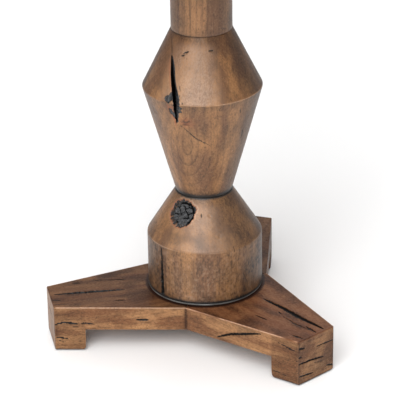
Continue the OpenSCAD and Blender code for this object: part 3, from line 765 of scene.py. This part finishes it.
    # painted shade: the tops of the legs darkened all over, as under the table top, in uneven smoky patches
    finish_and_painted_light.most("glaze", on_top * (0.36 + 0.20 * cloud + 0.26 * smoky))
    finish_and_painted_light.most("glaze", (0.14 * smoky + 0.26 * on_foot) * (z < BASE_TOP - 3))
    finish_and_painted_light.most("bare", on_top * (0.5 if name == "leg_right" else 0.12) * (0.8 + 0.3 * cloud))
    finish_and_painted_light.glaze *= 1 - 0.9 * np.clip(finish_and_painted_light.worn * 1.6, 0, 1) * ease((tip - 2 - x) / 2)
    grain = np.stack([grid[..., 1] + 7 * flutter(grid, (160, 60, 60), seed + 6), z - 130 - 30 * (seed % 3),
                      x + 900 * (seed % 5)], axis=-1)
    a = math.radians(degrees)
    turned = np.array([[math.cos(a), -math.sin(a), 0], [math.sin(a), math.cos(a), 0], [0, 0, 1]])
    piece = skin(name + "_wood", grid @ turned.T, "pedestal", finish_and_painted_light, grain)
    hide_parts(name)
    return piece


def leg_marks():
    """The checks in each leg, as (points along, across and up, width, depth, ragged, blackness)."""
    top = BASE_TOP

    def flank(u, down, side):
        return (u, side * half_width(u), top - down)

    def tip(v, down):
        return (LEG_REACH, v, top - down)

    right = [([(110, 22, top), (150, 23, top), (190, 20, top), (245, 20, top)], 7.5, 3.4, 0.8, 1),
             ([(140, -24, top), (165, -22, top)], 1.8, 1.2, 0.2, 0.9),
             ([(158, 9, top), (166, 7, top)], 2.2, 1.0, 0.5, 0.8),
             ([(170, 4, top), (205, 0, top), (235, 3, top)], 2.4, 0.8, 1.3, 0.45),
             ([(220, 6, top), (245, 4, top)], 3.2, 1.4, 1.3, 0.85),
             ([(225, -28, top), (245, -24, top)], 3.0, 0.9, 1.2, 0.6),
             ([flank(106, 34, -1), flank(130, 22, -1), flank(184, 5, -1)], 2.9, 2.0, 0.6, 1),
             ([flank(204, 61, -1), flank(229, 64, -1)], 1.3, 0.6, 0.3, 0.6),
             ([flank(214, 11, -1), flank(247, 18, -1)], 1.8, 0.8, 0.8, 0.7),
             ([tip(-38, 12), tip(-24, 15)], 2.6, 1.6, 0.6, 1),
             ([tip(0, 21), tip(37, 23)], 1.5, 1.0, 0.4, 0.85),
             ([tip(-38, 39), tip(-12, 40), tip(16, 44)], 2.4, 1.6, 0.5, 1),
             ([tip(-38, 27), tip(-30, 28)], 3.0, 1.0, 0.8, 0.7),
             ([tip(22, 62), tip(38, 66)], 2.2, 1.2, 0.4, 0.9),
             ([tip(-37, 60), tip(-6, 64)], 2.0, 1.2, 0.5, 1),
             ([tip(-6, 47), tip(14, 51)], 1.2, 0.6, 0.7, 0.5)]
    left = [([(242, -6, top), (205, -4, top), (130, 2, top)], 6.2, 3.0, 0.9, 1),
            ([(208, -38, top), (195, -36, top)], 2.2, 1.0, 0.8, 0.8),
            ([(177, -41, top), (150, -37, top)], 1.8, 0.9, 0.7, 0.8),
            ([(152, -36, top), (122, -32, top)], 2.2, 1.0, 0.9, 0.8),
            ([(153, 35, top), (135, 38, top)], 1.9, 1.0, 0.5, 0.85),
            ([(247, 12, top), (234, 15, top)], 2.2, 1.2, 0.6, 0.9),
            ([(246, 26, top), (226, 29, top)], 2.6, 0.6, 0.9, 0.45),
            ([flank(125, 21, 1), flank(106, 21, 1)], 2.4, 1.8, 0.5, 1),
            ([flank(248, 30, 1), flank(236, 26, 1), flank(214, 28, 1)], 1.9, 1.4, 0.7, 1),
            ([flank(214, 27, 1), flank(200, 28, 1)], 1.0, 0.7, 0.6, 0.7),
            ([flank(205, 26, 1), flank(188, 29, 1)], 1.4, 0.9, 0.8, 0.8),
            ([flank(222, 33, 1), flank(212, 34, 1)], 1.4, 0.6, 0.7, 0.6),
            ([flank(247, 52, 1), flank(229, 54, 1)], 1.6, 0.9, 0.7, 0.8),
            ([flank(243, 58, 1), flank(236, 60, 1)], 1.2, 0.6, 0.6, 0.6),
            ([tip(-20, 25), tip(22, 27)], 1.5, 0.9, 0.4, 0.8)]
    rear = [([(120, -18, top), (165, -16, top), (214, -17, top)], 3.6, 2.6, 0.5, 1),
            ([(180, 20, top), (228, 17, top)], 2.0, 1.2, 0.5, 0.9),
            ([flank(120, 18, 1), flank(160, 15, 1)], 1.8, 1.2, 0.5, 0.9),
            ([flank(190, 23, -1), flank(235, 26, -1)], 2.0, 1.2, 0.5, 0.9),
            ([tip(-30, 33), tip(12, 36)], 2.0, 1.3, 0.5, 1),
            ([tip(5, 53), tip(34, 55)], 1.6, 1.0, 0.5, 0.9)]
    return {"leg_right": (-30, right, 101), "leg_left": (210, left, 112), "leg_rear": (90, rear, 123)}


def plank_wood(number, y_range, marks, seed):
    """One board of the round top. Rings run across the grain, from one glued edge to the other; a ring's
    half width at depth inset inside the rim is the root of (radius - inset) squared less y squared."""
    rim_cut = 3.0
    tau, inset, up, rise = section(150, 11, 70, rim_cut, 2.2, arc=6)
    y0, y1 = y_range
    ends_at_rim = max(abs(y0), abs(y1)) > TOP_R - 1
    seam, rim = (y0, y1) if abs(y0) < abs(y1) else (y1, y0)
    radius = TOP_R - 0.05 - inset
    if ends_at_rim:
        turn = np.concatenate([[0, 0.002, 0.006], np.linspace(0.02, 1, 92)])[:, None]
        reach = np.arcsin(np.clip(seam / radius, -1, 1))
        pole = math.copysign(math.pi / 2, rim)
        y = radius * np.sin(reach + (pole - reach) * turn)
        shrink = np.interp(turn, [0, 0.002, 0.006], [0.45, 0.18, 0])
    else:
        inner = np.linspace(0, 1, 112)
        run = np.concatenate([[0, 0.0015, 0.004], inner[1:-1], [0.996, 0.9985, 1]])[:, None]
        y = y0 + (y1 - y0) * run + 0 * tau
        shrink = np.interp(run, [0, 0.0015, 0.004, 0.996, 0.9985, 1], [0.45, 0.18, 0, 0, 0.18, 0.45])
    x = tau * np.sqrt(np.maximum((radius - shrink) ** 2 - y ** 2, 0))
    z = (TOP_UNDER + 0.1 + shrink) * (1 - up) + (TOP_UPPER - 0.1 - shrink) * up + rise
    grid = np.stack([x, y, z + 0 * x], axis=-1)
    finish_and_painted_light = FinishAndPaintedLight(grid)
    normals = np.zeros_like(grid)
    flat = np.abs(tau) < 0.999
    normals[..., 2] = np.where(flat, np.where(up > 0.5, 1, -1), 0)
    grid = cut_marks(grid, normals, finish_and_painted_light, marks, seed)
    bump = 0.14 * flutter(grid, (60, 16, 16), seed + 1) + 0.06 * flutter(grid, (22, 5, 5), seed + 2)
    dents = 0.5 * ease((flutter(grid, 12, seed + 3) - 0.66) / 0.3)
    grid -= normals * np.clip(0.25 + bump + dents, 0, 2)[..., None]
    x, y, z = grid[..., 0], grid[..., 1], grid[..., 2]
    off_rim = TOP_R - np.hypot(x, y)
    upper = ease((z - TOP_UNDER - 18) / 8)
    finish_and_painted_light.most("worn", 0.8 * bell(off_rim - 1, 1.8) * bell(TOP_UPPER - z, 2.5)
                * np.clip(0.6 + 0.5 * flutter(grid, 20, seed + 4), 0, 1))
    # an edge that lies at the rim is no seam, and counts as 99 mm further off
    to_seam = np.minimum(*(np.abs(y - edge) + 99 * (abs(edge) > TOP_R - 1) for edge in y_range))
    finish_and_painted_light.most("glaze", 0.75 * bell(to_seam, 0.9) + 0.15 * upper * bell(to_seam, 6))
    finish_and_painted_light.most("glaze", 0.35 * upper * bell(off_rim - 9, 8) * (off_rim > 2))
    finish_and_painted_light.most("glaze", 0.5 * bell(z - TOP_UNDER, 2) * bell(off_rim, 5))
    grain = np.stack([y - (y0 + y1) / 2 + 5 * flutter(grid, (220, 60, 60), seed + 6), z - 560 - 60 * number,
                      x + 1500 * number], axis=-1)
    piece = skin("plank_%d_wood" % number, grid, "top", finish_and_painted_light, grain)
    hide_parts("plank_%d" % number)
    return piece


def plank_marks():
    """The checks in each board of the top, as leg_marks gives them, in the table's own place."""
    top, rim = TOP_UPPER, TOP_R
    return {1: [([(-70, -262, top), (10, -258, top), (96, -260, top)], 2.4, 1.3, 0.5, 0.9)],
            2: [([(-260, -150, top), (-180, -146, top), (-90, -148, top)], 3.4, 2.0, 0.6, 1),
                ([(120, -98, top), (170, -96, top)], 1.8, 0.9, 0.4, 0.85)],
            3: [([(-rim, 20, top), (-280, 18, top), (-225, 21, top)], 2.8, 1.8, 0.5, 1),
                ([(40, -30, top), (66, -28, top)], 1.9, 0.8, 0.5, 0.8),
                ([(150, 44, top), (250, 40, top), (318, 43, top)], 2.6, 1.5, 0.6, 1)],
            4: [([(-40, 150, top), (40, 154, top), (130, 151, top)], 2.2, 1.2, 0.6, 0.9),
                ([(200, 110, top), (226, 112, top)], 1.8, 0.8, 0.6, 0.8)],
            5: [([(-150, 240, top), (-95, 243, top)], 2.2, 1.1, 0.5, 0.9)]}


# ---------------------------------------------------------------- small pieces

def foot_pad_felt(name):
    """A thick felt disc, slightly squashed: its edge is a bulging half round that wanders a little."""
    (x0, y0, z0), (x1, y1, z1) = low(name), high(name)
    centre, radius, thick = ((x0 + x1) / 2, (y0 + y1) / 2), (x1 - x0) / 2, z1 - z0
    turn = np.linspace(-math.pi / 2, math.pi / 2, 9)
    rise = z0 + thick / 2 + (thick / 2 - 0.02) * np.sin(turn)
    edge = np.stack([radius - 0.9 + 0.8 * np.cos(turn), rise], axis=-1)
    line = np.concatenate([[(radius * 0.5, z0 + 0.02)], edge, [(radius * 0.5, z1 - 0.02)]])
    grid = turned_grid(line, np.linspace(0, 2 * np.pi, 65)[None, :-1])
    grid[..., :2] *= (1 - 0.006 * (1 + flutter(grid, 3, 77)))[..., None]
    grid += np.array([centre[0], centre[1], 0])
    piece = skin(name + "_felt", grid, "pedestal")
    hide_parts(name)
    return piece


# ---------------------------------------------------------------- materials

def tone(code):
    """An sRGB colour such as "#8a5a33" as linear red, green, blue and alpha."""
    parts = [int(code[i:i + 2], 16) / 255 for i in (1, 3, 5)]
    return tuple(p / 12.92 if p <= 0.04045 else ((p + 0.055) / 1.055) ** 2.4 for p in parts) + (1.0,)


def add(tree, kind, inputs, out=0, **settings):
    """Adds a node and gives back one of its outputs. Inputs pair a socket's name or number with a value or
    with another node's output; settings are the node's own properties."""
    made = tree.nodes.new("ShaderNode" + kind)
    for key, value in settings.items():
        setattr(made, key, value)
    for key, value in inputs.items():
        if isinstance(value, bpy.types.NodeSocket):
            tree.links.new(value, made.inputs[key])
        else:
            made.inputs[key].default_value = value
    return made.outputs[out]


def blank(name, roughness, **sockets):
    """A new material with only a Principled shader in it, and the values that are the same all over."""
    made = bpy.data.materials.new(name)
    made.use_nodes = True
    shader = made.node_tree.nodes["Principled BSDF"]
    shader.inputs["Roughness"].default_value = roughness
    for label, value in sockets.items():
        shader.inputs[label.replace("_", " ")].default_value = value
    return made, made.node_tree, shader


def finish_with(tree, shader, colour, roughness, height, strength, distance):
    """Joins colour, roughness and a bump of a height pattern to the shader."""
    relief = add(tree, "Bump", {"Height": height, "Strength": strength, "Distance": distance})
    tree.links.new(colour, shader.inputs["Base Color"])
    tree.links.new(roughness, shader.inputs["Roughness"])
    tree.links.new(relief, shader.inputs["Normal"])


def stained_wood(name, gold, deep, shade, wax="#1e1b19", gloss=0.4, lies_along=None):
    """Plain-sawn hardwood with a brown stain, rubbed with dark wax and buffed: a satin surface with broad
    warm and dark streaks, growth rings about 9 mm apart, fibres, short dark open pores and smoky patches of
    wax. The pores of the real wood are 0.2 mm wide; they are drawn 1 mm wide so that they show. Where
    lies_along is given, the grain runs along that axis of the piece instead of following its attribute."""
    made, tree, shader = blank(name, 0.45, Coat_Weight=0.3 * gloss, Coat_Roughness=0.34,
                               Specular_IOR_Level=gloss)
    smooth = {"interpolation_type": "SMOOTHSTEP"}
    laid = {"data_type": "RGBA", "out": 2}
    if lies_along is None:
        grain = add(tree, "Attribute", {}, 1, attribute_name="grain")
        figure = add(tree, "Attribute", {}, 1, attribute_name="figure")
    else:
        place = add(tree, "TexCoord", {}, 3)
        turns = {0: (0, -math.pi / 2, 0), 1: (math.pi / 2, 0, 0), 2: (0, 0, 0)}
        grain = add(tree, "Mapping", {"Vector": place, "Rotation": turns[lies_along],
                                      "Scale": (1000, 1000, 1000), "Location": (37, -61, 420)})
        level = add(tree, "VectorMath", {0: grain, 1: (1, 1, 0)}, operation="MULTIPLY")
        ring = add(tree, "VectorMath", {0: level}, 1, operation="LENGTH")
        figure = add(tree, "CombineXYZ", {"X": ring, "Y": 0.3})

    def pattern(across, along, detail=2.0, rough=0.55):
        """Noise stretched along the grain, from its size across and along in mm."""
        size = (1 / across, 1 / across, 1 / along)
        sized = add(tree, "VectorMath", {0: grain, 1: size}, operation="MULTIPLY")
        return add(tree, "TexNoise", {"Vector": sized, "Scale": 1.0, "Detail": detail, "Roughness": rough})

    def lay(under, over, value, start, end, most, least=0.0):
        """Lays a colour over another where a pattern's value runs from start to end."""
        amount = add(tree, "MapRange", {0: value, 1: start, 2: end, 3: least, 4: most}, **smooth)
        return add(tree, "Mix", {0: amount, 6: under, 7: over}, **laid)

    broad = add(tree, "MapRange", {0: pattern(26, 260, 4.0), 1: 0.38, 2: 0.62}, **smooth)
    colour = add(tree, "Mix", {0: broad, 6: tone(deep), 7: tone(gold)}, **laid)
    fibre, flecks = pattern(1.5, 34, 3.0), pattern(2.4, 4.2, 3.0, 0.7)
    colour = lay(colour, tone(shade), pattern(6, 110, 3.0), 0.50, 0.74, 0.34)
    colour = lay(colour, tone(shade), fibre, 0.50, 0.72, 0.30)
    split = tree.nodes.new("ShaderNodeSeparateXYZ")
    tree.links.new(figure, split.inputs[0])
    step = add(tree, "CombineXYZ", {"X": split.outputs[0]})
    step = add(tree, "VectorMath", {0: step, 1: add(tree, "VectorMath", {0: grain, 1: (0.0, 0.004, 0.012)},
                                                    operation="MULTIPLY")}, operation="ADD")
    rings = add(tree, "TexWave", {"Vector": step, "Scale": 0.036, "Distortion": 0.7, "Detail": 2.0,
                                  "Detail Scale": 0.5, "Detail Roughness": 0.5}, 1, wave_type="BANDS",
                bands_direction="X", wave_profile="SAW")
    rings = add(tree, "MapRange", {0: rings, 1: 0.62, 2: 1.0, 3: 0.0, 4: 0.85}, **smooth)
    rings = add(tree, "Math", {0: rings, 1: split.outputs[1]}, operation="MULTIPLY")
    colour = add(tree, "Mix", {0: rings, 6: colour, 7: tone(shade)}, **laid)
    colour = lay(colour, tone("#2c2622"), pattern(46, 80, 4.0, 0.6), 0.50, 0.74, 0.46)
    colour = lay(colour, tone("#2b2119"), flecks, 0.50, 0.70, 0.44)
    colour = lay(colour, tone("#c9a47c"), flecks, 0.46, 0.26, 0.24)
    pores = add(tree, "MapRange", {0: pattern(1.25, 6.5, 2.0, 0.6), 1: 0.62, 2: 0.68}, **smooth)
    patchy = add(tree, "MapRange", {0: pattern(26, 50), 1: 0.40, 2: 0.62, 3: 0.12, 4: 0.85}, **smooth)
    pores = add(tree, "Math", {0: pores, 1: patchy}, operation="MULTIPLY")
    colour = add(tree, "Mix", {0: pores, 6: colour, 7: tone("#221b17")}, **laid)
    roughness = add(tree, "MapRange", {0: flecks, 1: 0.3, 2: 0.75, 3: 0.40, 4: 0.56})
    if lies_along is None:
        touch = tree.nodes.new("ShaderNodeSeparateXYZ")
        tree.links.new(add(tree, "Attribute", {}, 1, attribute_name="finish_and_painted_light"), touch.inputs[0])
        glaze, worn, char = touch.outputs
        bare = add(tree, "Attribute", {}, 2, attribute_name="bare")
        grit = add(tree, "MapRange", {0: flecks, 1: 0.3, 2: 0.7, 3: -0.5, 4: 0.5})
        # The colour wax paints both dark wax and painted shade, and #cba78a both wear and painted sheen,
        # highlights and glare.
        for amount, over, reach in ((bare, "#9c5c38", 0.5), (worn, "#cba78a", 1.5), (glaze, wax, 0.4)):
            weight = add(tree, "Math", {0: grit, 1: reach}, operation="MULTIPLY")
            weight = add(tree, "Math", {0: weight, 1: 1.0}, operation="ADD")
            weight = add(tree, "Math", {0: amount, 1: weight}, operation="MULTIPLY", use_clamp=True)
            colour = add(tree, "Mix", {0: weight, 6: colour, 7: tone(over)}, **laid)
        colour = lay(colour, tone("#0b0a0a"), char, 0.12, 0.62, 1.0)
        patches = add(tree, "MapRange", {0: pattern(1.5, 1.5, 3.0, 0.7), 1: 0.38, 2: 0.72}, **smooth)
        coal = add(tree, "Mix", {0: patches, 6: tone("#1c1d1e"), 7: tone("#727376")}, **laid)
        colour = add(tree, "Mix", {0: split.outputs[2], 6: colour, 7: coal}, **laid)
    height = add(tree, "Math", {0: fibre, 1: 0.5}, operation="MULTIPLY")
    height = add(tree, "Math", {0: height, 1: flecks}, operation="ADD")
    height = add(tree, "Math", {0: height, 1: pores}, operation="SUBTRACT")
    finish_with(tree, shader, colour, roughness, height, 0.45, 0.0003)
    return made


def ebonised_bead():
    """Hardwood stained black and polished: near black, with a grey highlight painted where the bead is marked
    for it.
    """
    made, tree, shader = blank("ebonised_bead", 0.4)
    touch = tree.nodes.new("ShaderNodeSeparateXYZ")
    tree.links.new(add(tree, "Attribute", {}, 1, attribute_name="finish_and_painted_light"), touch.inputs[0])
    grain = add(tree, "Attribute", {}, 1, attribute_name="grain")
    sized = add(tree, "VectorMath", {0: grain, 1: (0.33, 0.33, 0.33)}, operation="MULTIPLY")
    dust = add(tree, "TexNoise", {"Vector": sized, "Scale": 1.0, "Detail": 3.0})
    amount = add(tree, "MapRange", {0: dust, 1: 0.4, 2: 0.7})
    colour = add(tree, "Mix", {0: amount, 6: tone("#141312"), 7: tone("#2c2927")}, 2, data_type="RGBA")
    # painted highlight: the grey gleam along the bead
    rubbed = add(tree, "MapRange", {0: touch.outputs[1], 1: 0.15, 2: 0.9, 3: 0.0, 4: 0.8})
    colour = add(tree, "Mix", {0: rubbed, 6: colour, 7: tone("#9a9692")}, 2, data_type="RGBA")
    roughness = add(tree, "MapRange", {0: dust, 1: 0.3, 2: 0.7, 3: 0.32, 4: 0.5})
    finish_with(tree, shader, colour, roughness, dust, 0.25, 0.0002)
    return made


def pressed_felt():
    """Dark grey wool felt: matt and soft, with fibres in every direction about 0.5 mm apart."""
    made, tree, shader = blank("pressed_felt", 0.95, Sheen_Weight=0.4)
    place = add(tree, "TexCoord", {}, 3)
    fluff = add(tree, "TexNoise", {"Vector": place, "Scale": 1400.0, "Detail": 4.0, "Roughness": 0.8})
    amount = add(tree, "MapRange", {0: fluff, 1: 0.35, 2: 0.7})
    colour = add(tree, "Mix", {0: amount, 6: tone("#23211f"), 7: tone("#5a5650")}, 2, data_type="RGBA")
    roughness = add(tree, "MapRange", {0: fluff, 1: 0.3, 2: 0.7, 3: 0.9, 4: 1.0})
    finish_with(tree, shader, colour, roughness, fluff, 0.7, 0.0004)
    return made


def worked_metal(name, bright, dull, stain, roughness, blotch_mm, metallic=1.0):
    """Metal hardware as it is after some years: turned or drawn to fine lines, tarnished in blotches of the
    given size, and brighter where it is handled. Lines 0.02 mm apart are drawn 0.5 mm apart."""
    made, tree, shader = blank(name, roughness, Metallic=metallic)
    place = add(tree, "TexCoord", {}, 3)
    blotch = add(tree, "TexNoise", {"Vector": place, "Scale": 1000 / blotch_mm, "Detail": 5.0,
                                    "Roughness": 0.65})
    drawn = add(tree, "Mapping", {"Vector": place, "Scale": (60, 1800, 1800)})
    lines = add(tree, "TexNoise", {"Vector": drawn, "Scale": 1.0, "Detail": 2.0})
    smooth = {"interpolation_type": "SMOOTHSTEP"}
    amount = add(tree, "MapRange", {0: blotch, 1: 0.40, 2: 0.66}, **smooth)
    colour = add(tree, "Mix", {0: amount, 6: tone(bright), 7: tone(dull)}, 2, data_type="RGBA")
    amount = add(tree, "MapRange", {0: blotch, 1: 0.58, 2: 0.74, 3: 0.0, 4: 0.75}, **smooth)
    colour = add(tree, "Mix", {0: amount, 6: colour, 7: tone(stain)}, 2, data_type="RGBA")
    rough = add(tree, "MapRange", {0: blotch, 1: 0.35, 2: 0.7, 3: roughness - 0.06, 4: roughness + 0.16})
    finish_with(tree, shader, colour, rough, lines, 0.18, 0.0001)
    return made


def dress(pieces, material):
    """Puts one material in every slot of the pieces, or of the nodes with those names."""
    for piece in pieces:
        thing = piece if isinstance(piece, bpy.types.Object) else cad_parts[piece]
        if not thing.material_slots:
            thing.data.materials.append(material)
        for place in thing.material_slots:
            place.material = material


def eased_copy(node, body, width):
    """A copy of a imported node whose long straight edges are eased: flat faces are joined up, and each sharp
    edge over 10 mm long is bevelled."""
    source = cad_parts[node]
    mesh = source.data.copy()
    mesh.name = node + "_eased"
    work = bmesh.new()
    work.from_mesh(mesh)
    bmesh.ops.remove_doubles(work, verts=work.verts, dist=1e-6)
    bmesh.ops.dissolve_limit(work, angle_limit=math.radians(0.5), verts=work.verts, edges=work.edges)
    sharp = [e for e in work.edges if len(e.link_faces) == 2 and e.calc_length() > 0.010
             and math.radians(50) < e.calc_face_angle() < math.radians(100)]
    bmesh.ops.bevel(work, geom=sharp, offset=width * MM, offset_type="OFFSET", segments=3, profile=0.5,
                    affect="EDGES", clamp_overlap=True)
    bmesh.ops.triangulate(work, faces=work.faces)
    bmesh.ops.recalc_face_normals(work, faces=work.faces)
    work.to_mesh(mesh)
    work.free()
    piece = bpy.data.objects.new(mesh.name, mesh)
    bpy.context.scene.collection.objects.link(piece)
    mesh.shade_smooth()
    mesh.set_sharp_from_angle(angle=math.radians(35))
    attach(piece, body)
    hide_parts(node)
    return piece


# ---------------------------------------------------------------- the room

# The camera: its lens in mm, distance and height in metres, and angles
LENS, CAMERA_OUT, CAMERA_UP = 189.1, 2.9683, 1.6005
CAMERA_DOWN, CAMERA_ROLL, CAMERA_AIM = math.radians(25.012), math.radians(-0.922), math.radians(0.126)

# The strength of the pale surround, and of each softbox in watts
SURROUND, KEY, OVERHEAD, BACKGROUND = 0.32, 112, 84, 46


def camera_at_front():
    """A long lens from the front right, looking down 25 degrees."""
    lens = bpy.data.cameras.new("camera")
    lens.sensor_width = 36
    lens.lens = LENS
    lens.clip_end = 50
    camera = bpy.data.objects.new("camera", lens)
    bpy.context.scene.collection.objects.link(camera)
    x, y = CAMERA_OUT * math.sin(FRONT_TURN), -CAMERA_OUT * math.cos(FRONT_TURN)
    place = Matrix.Translation((x, y, CAMERA_UP))
    turn = Matrix.Rotation(FRONT_TURN + CAMERA_AIM, 4, "Z")
    look = Matrix.Rotation(math.pi / 2 - CAMERA_DOWN, 4, "X")
    camera.matrix_world = place @ turn @ look @ Matrix.Rotation(CAMERA_ROLL, 4, "Z")
    bpy.context.scene.camera = camera


def softbox(name, watts, size, azimuth, elevation, distance, aim_height):
    """A square softbox that faces the column, placed by its azimuth from -Y, elevation and distance."""
    lamp_data = bpy.data.lights.new(name, "AREA")
    lamp_data.energy = watts
    lamp_data.size = size
    lamp = bpy.data.objects.new(name, lamp_data)
    bpy.context.scene.collection.objects.link(lamp)
    a, e = math.radians(azimuth), math.radians(elevation)
    out = Vector((math.sin(a) * math.cos(e), -math.cos(a) * math.cos(e), math.sin(e)))
    lamp.matrix_world = Matrix.Translation(Vector((0, 0, aim_height)) + out * distance) @ (
        (-out).to_track_quat("-Z", "Y").to_matrix().to_4x4())


def studio():
    """A pale surround, a wide matt white floor of one plain colour and three large softboxes."""
    world = bpy.data.worlds.new("pale_surround")
    world.use_nodes = True
    world.node_tree.nodes["Background"].inputs["Color"].default_value = (1, 1, 1, 1)
    world.node_tree.nodes["Background"].inputs["Strength"].default_value = SURROUND
    bpy.context.scene.world = world
    mesh = bpy.data.meshes.new("studio_floor")
    half = 14
    corners = [(-half, -half, 0), (half, -half, 0), (half, half, 0), (-half, half, 0)]
    mesh.from_pydata(corners, [], [(0, 1, 2, 3)])
    floor = bpy.data.objects.new("studio_floor", mesh)
    bpy.context.scene.collection.objects.link(floor)
    made, _, shader = blank("matt_white_paint", 0.9, Specular_IOR_Level=0.1)
    shader.inputs["Base Color"].default_value = tone("#fafafa")
    mesh.materials.append(made)
    softbox("key", KEY, 2.4, 4, 36, 3.4, 0.3)
    softbox("overhead", OVERHEAD, 3.2, 0, 82, 3.4, 0.2)
    softbox("background", BACKGROUND, 2.6, 186, 50, 4.2, 0.2)
    bpy.context.scene.view_settings.view_transform = "Standard"


# ---------------------------------------------------------------- putting it together

camera_at_front()
studio()

column_wood = stained_wood("hardwood_column", "#a2744a", "#795438", "#3a281b")
base_wood = stained_wood("hardwood_base", "#a87b53", "#7b5235", "#361e13", "#2a1409", 0.20)
top_wood = stained_wood("hardwood_top", "#93683f", "#6a4427", "#382417", "#26170d", 0.35)
dress([baluster_wood(), drum_wood(), shaft_wood()], column_wood)
dress([leg_wood(name, *facts) for name, facts in leg_marks().items()], base_wood)
dress([foot_ring_wood()], ebonised_bead())
edges = {n: (low("plank_%d" % n)[1], high("plank_%d" % n)[1]) for n in range(1, 6)}
dress([plank_wood(n, edges[n], marks, 200 + 9 * n) for n, marks in plank_marks().items()], top_wood)
dress([foot_pad_felt("foot_pad_" + side) for side in ("rear", "right", "left")], pressed_felt())
dress([eased_copy(node, "top", 1.2) for node in ("bearer_left", "bearer_right")],
      stained_wood("hardwood_bearers", "#996a40", "#704a2e", "#3c291b", lies_along=1))
dress([eased_copy("head_block", "pedestal", 1.2)],
      stained_wood("hardwood_block", "#94653c", "#6c482d", "#3c291b", lies_along=0))
dress(["mitre_tongues"], stained_wood("beech_tongues", "#c49a6c", "#b08458", "#8a6238", lies_along=2))
dress(["spider_plate"], worked_metal("blackened_steel", "#2b2b2c", "#1b1b1c", "#3b2a20", 0.5, 16, 0.7))
dress(["spider_screws", "bearer_screws"],
      worked_metal("screw_steel", "#a9a69f", "#7d7a73", "#5b4636", 0.38, 6))
dress(["tie_rod", "tie_rod_washers", "tie_rod_nuts"],
      worked_metal("zinc_plate", "#bfc0bc", "#94958f", "#77746a", 0.36, 8))
dress(["pivot_pin_left", "pivot_pin_right", "pivot_washers", "pivot_bush_left", "pivot_bush_right",
       "bolt_case", "bolt_screws", "slide_rod", "slide_knob", "keeper", "keeper_screws"],
      worked_metal("old_brass", "#c9a25c", "#9a763f", "#5a4226", 0.30, 9))
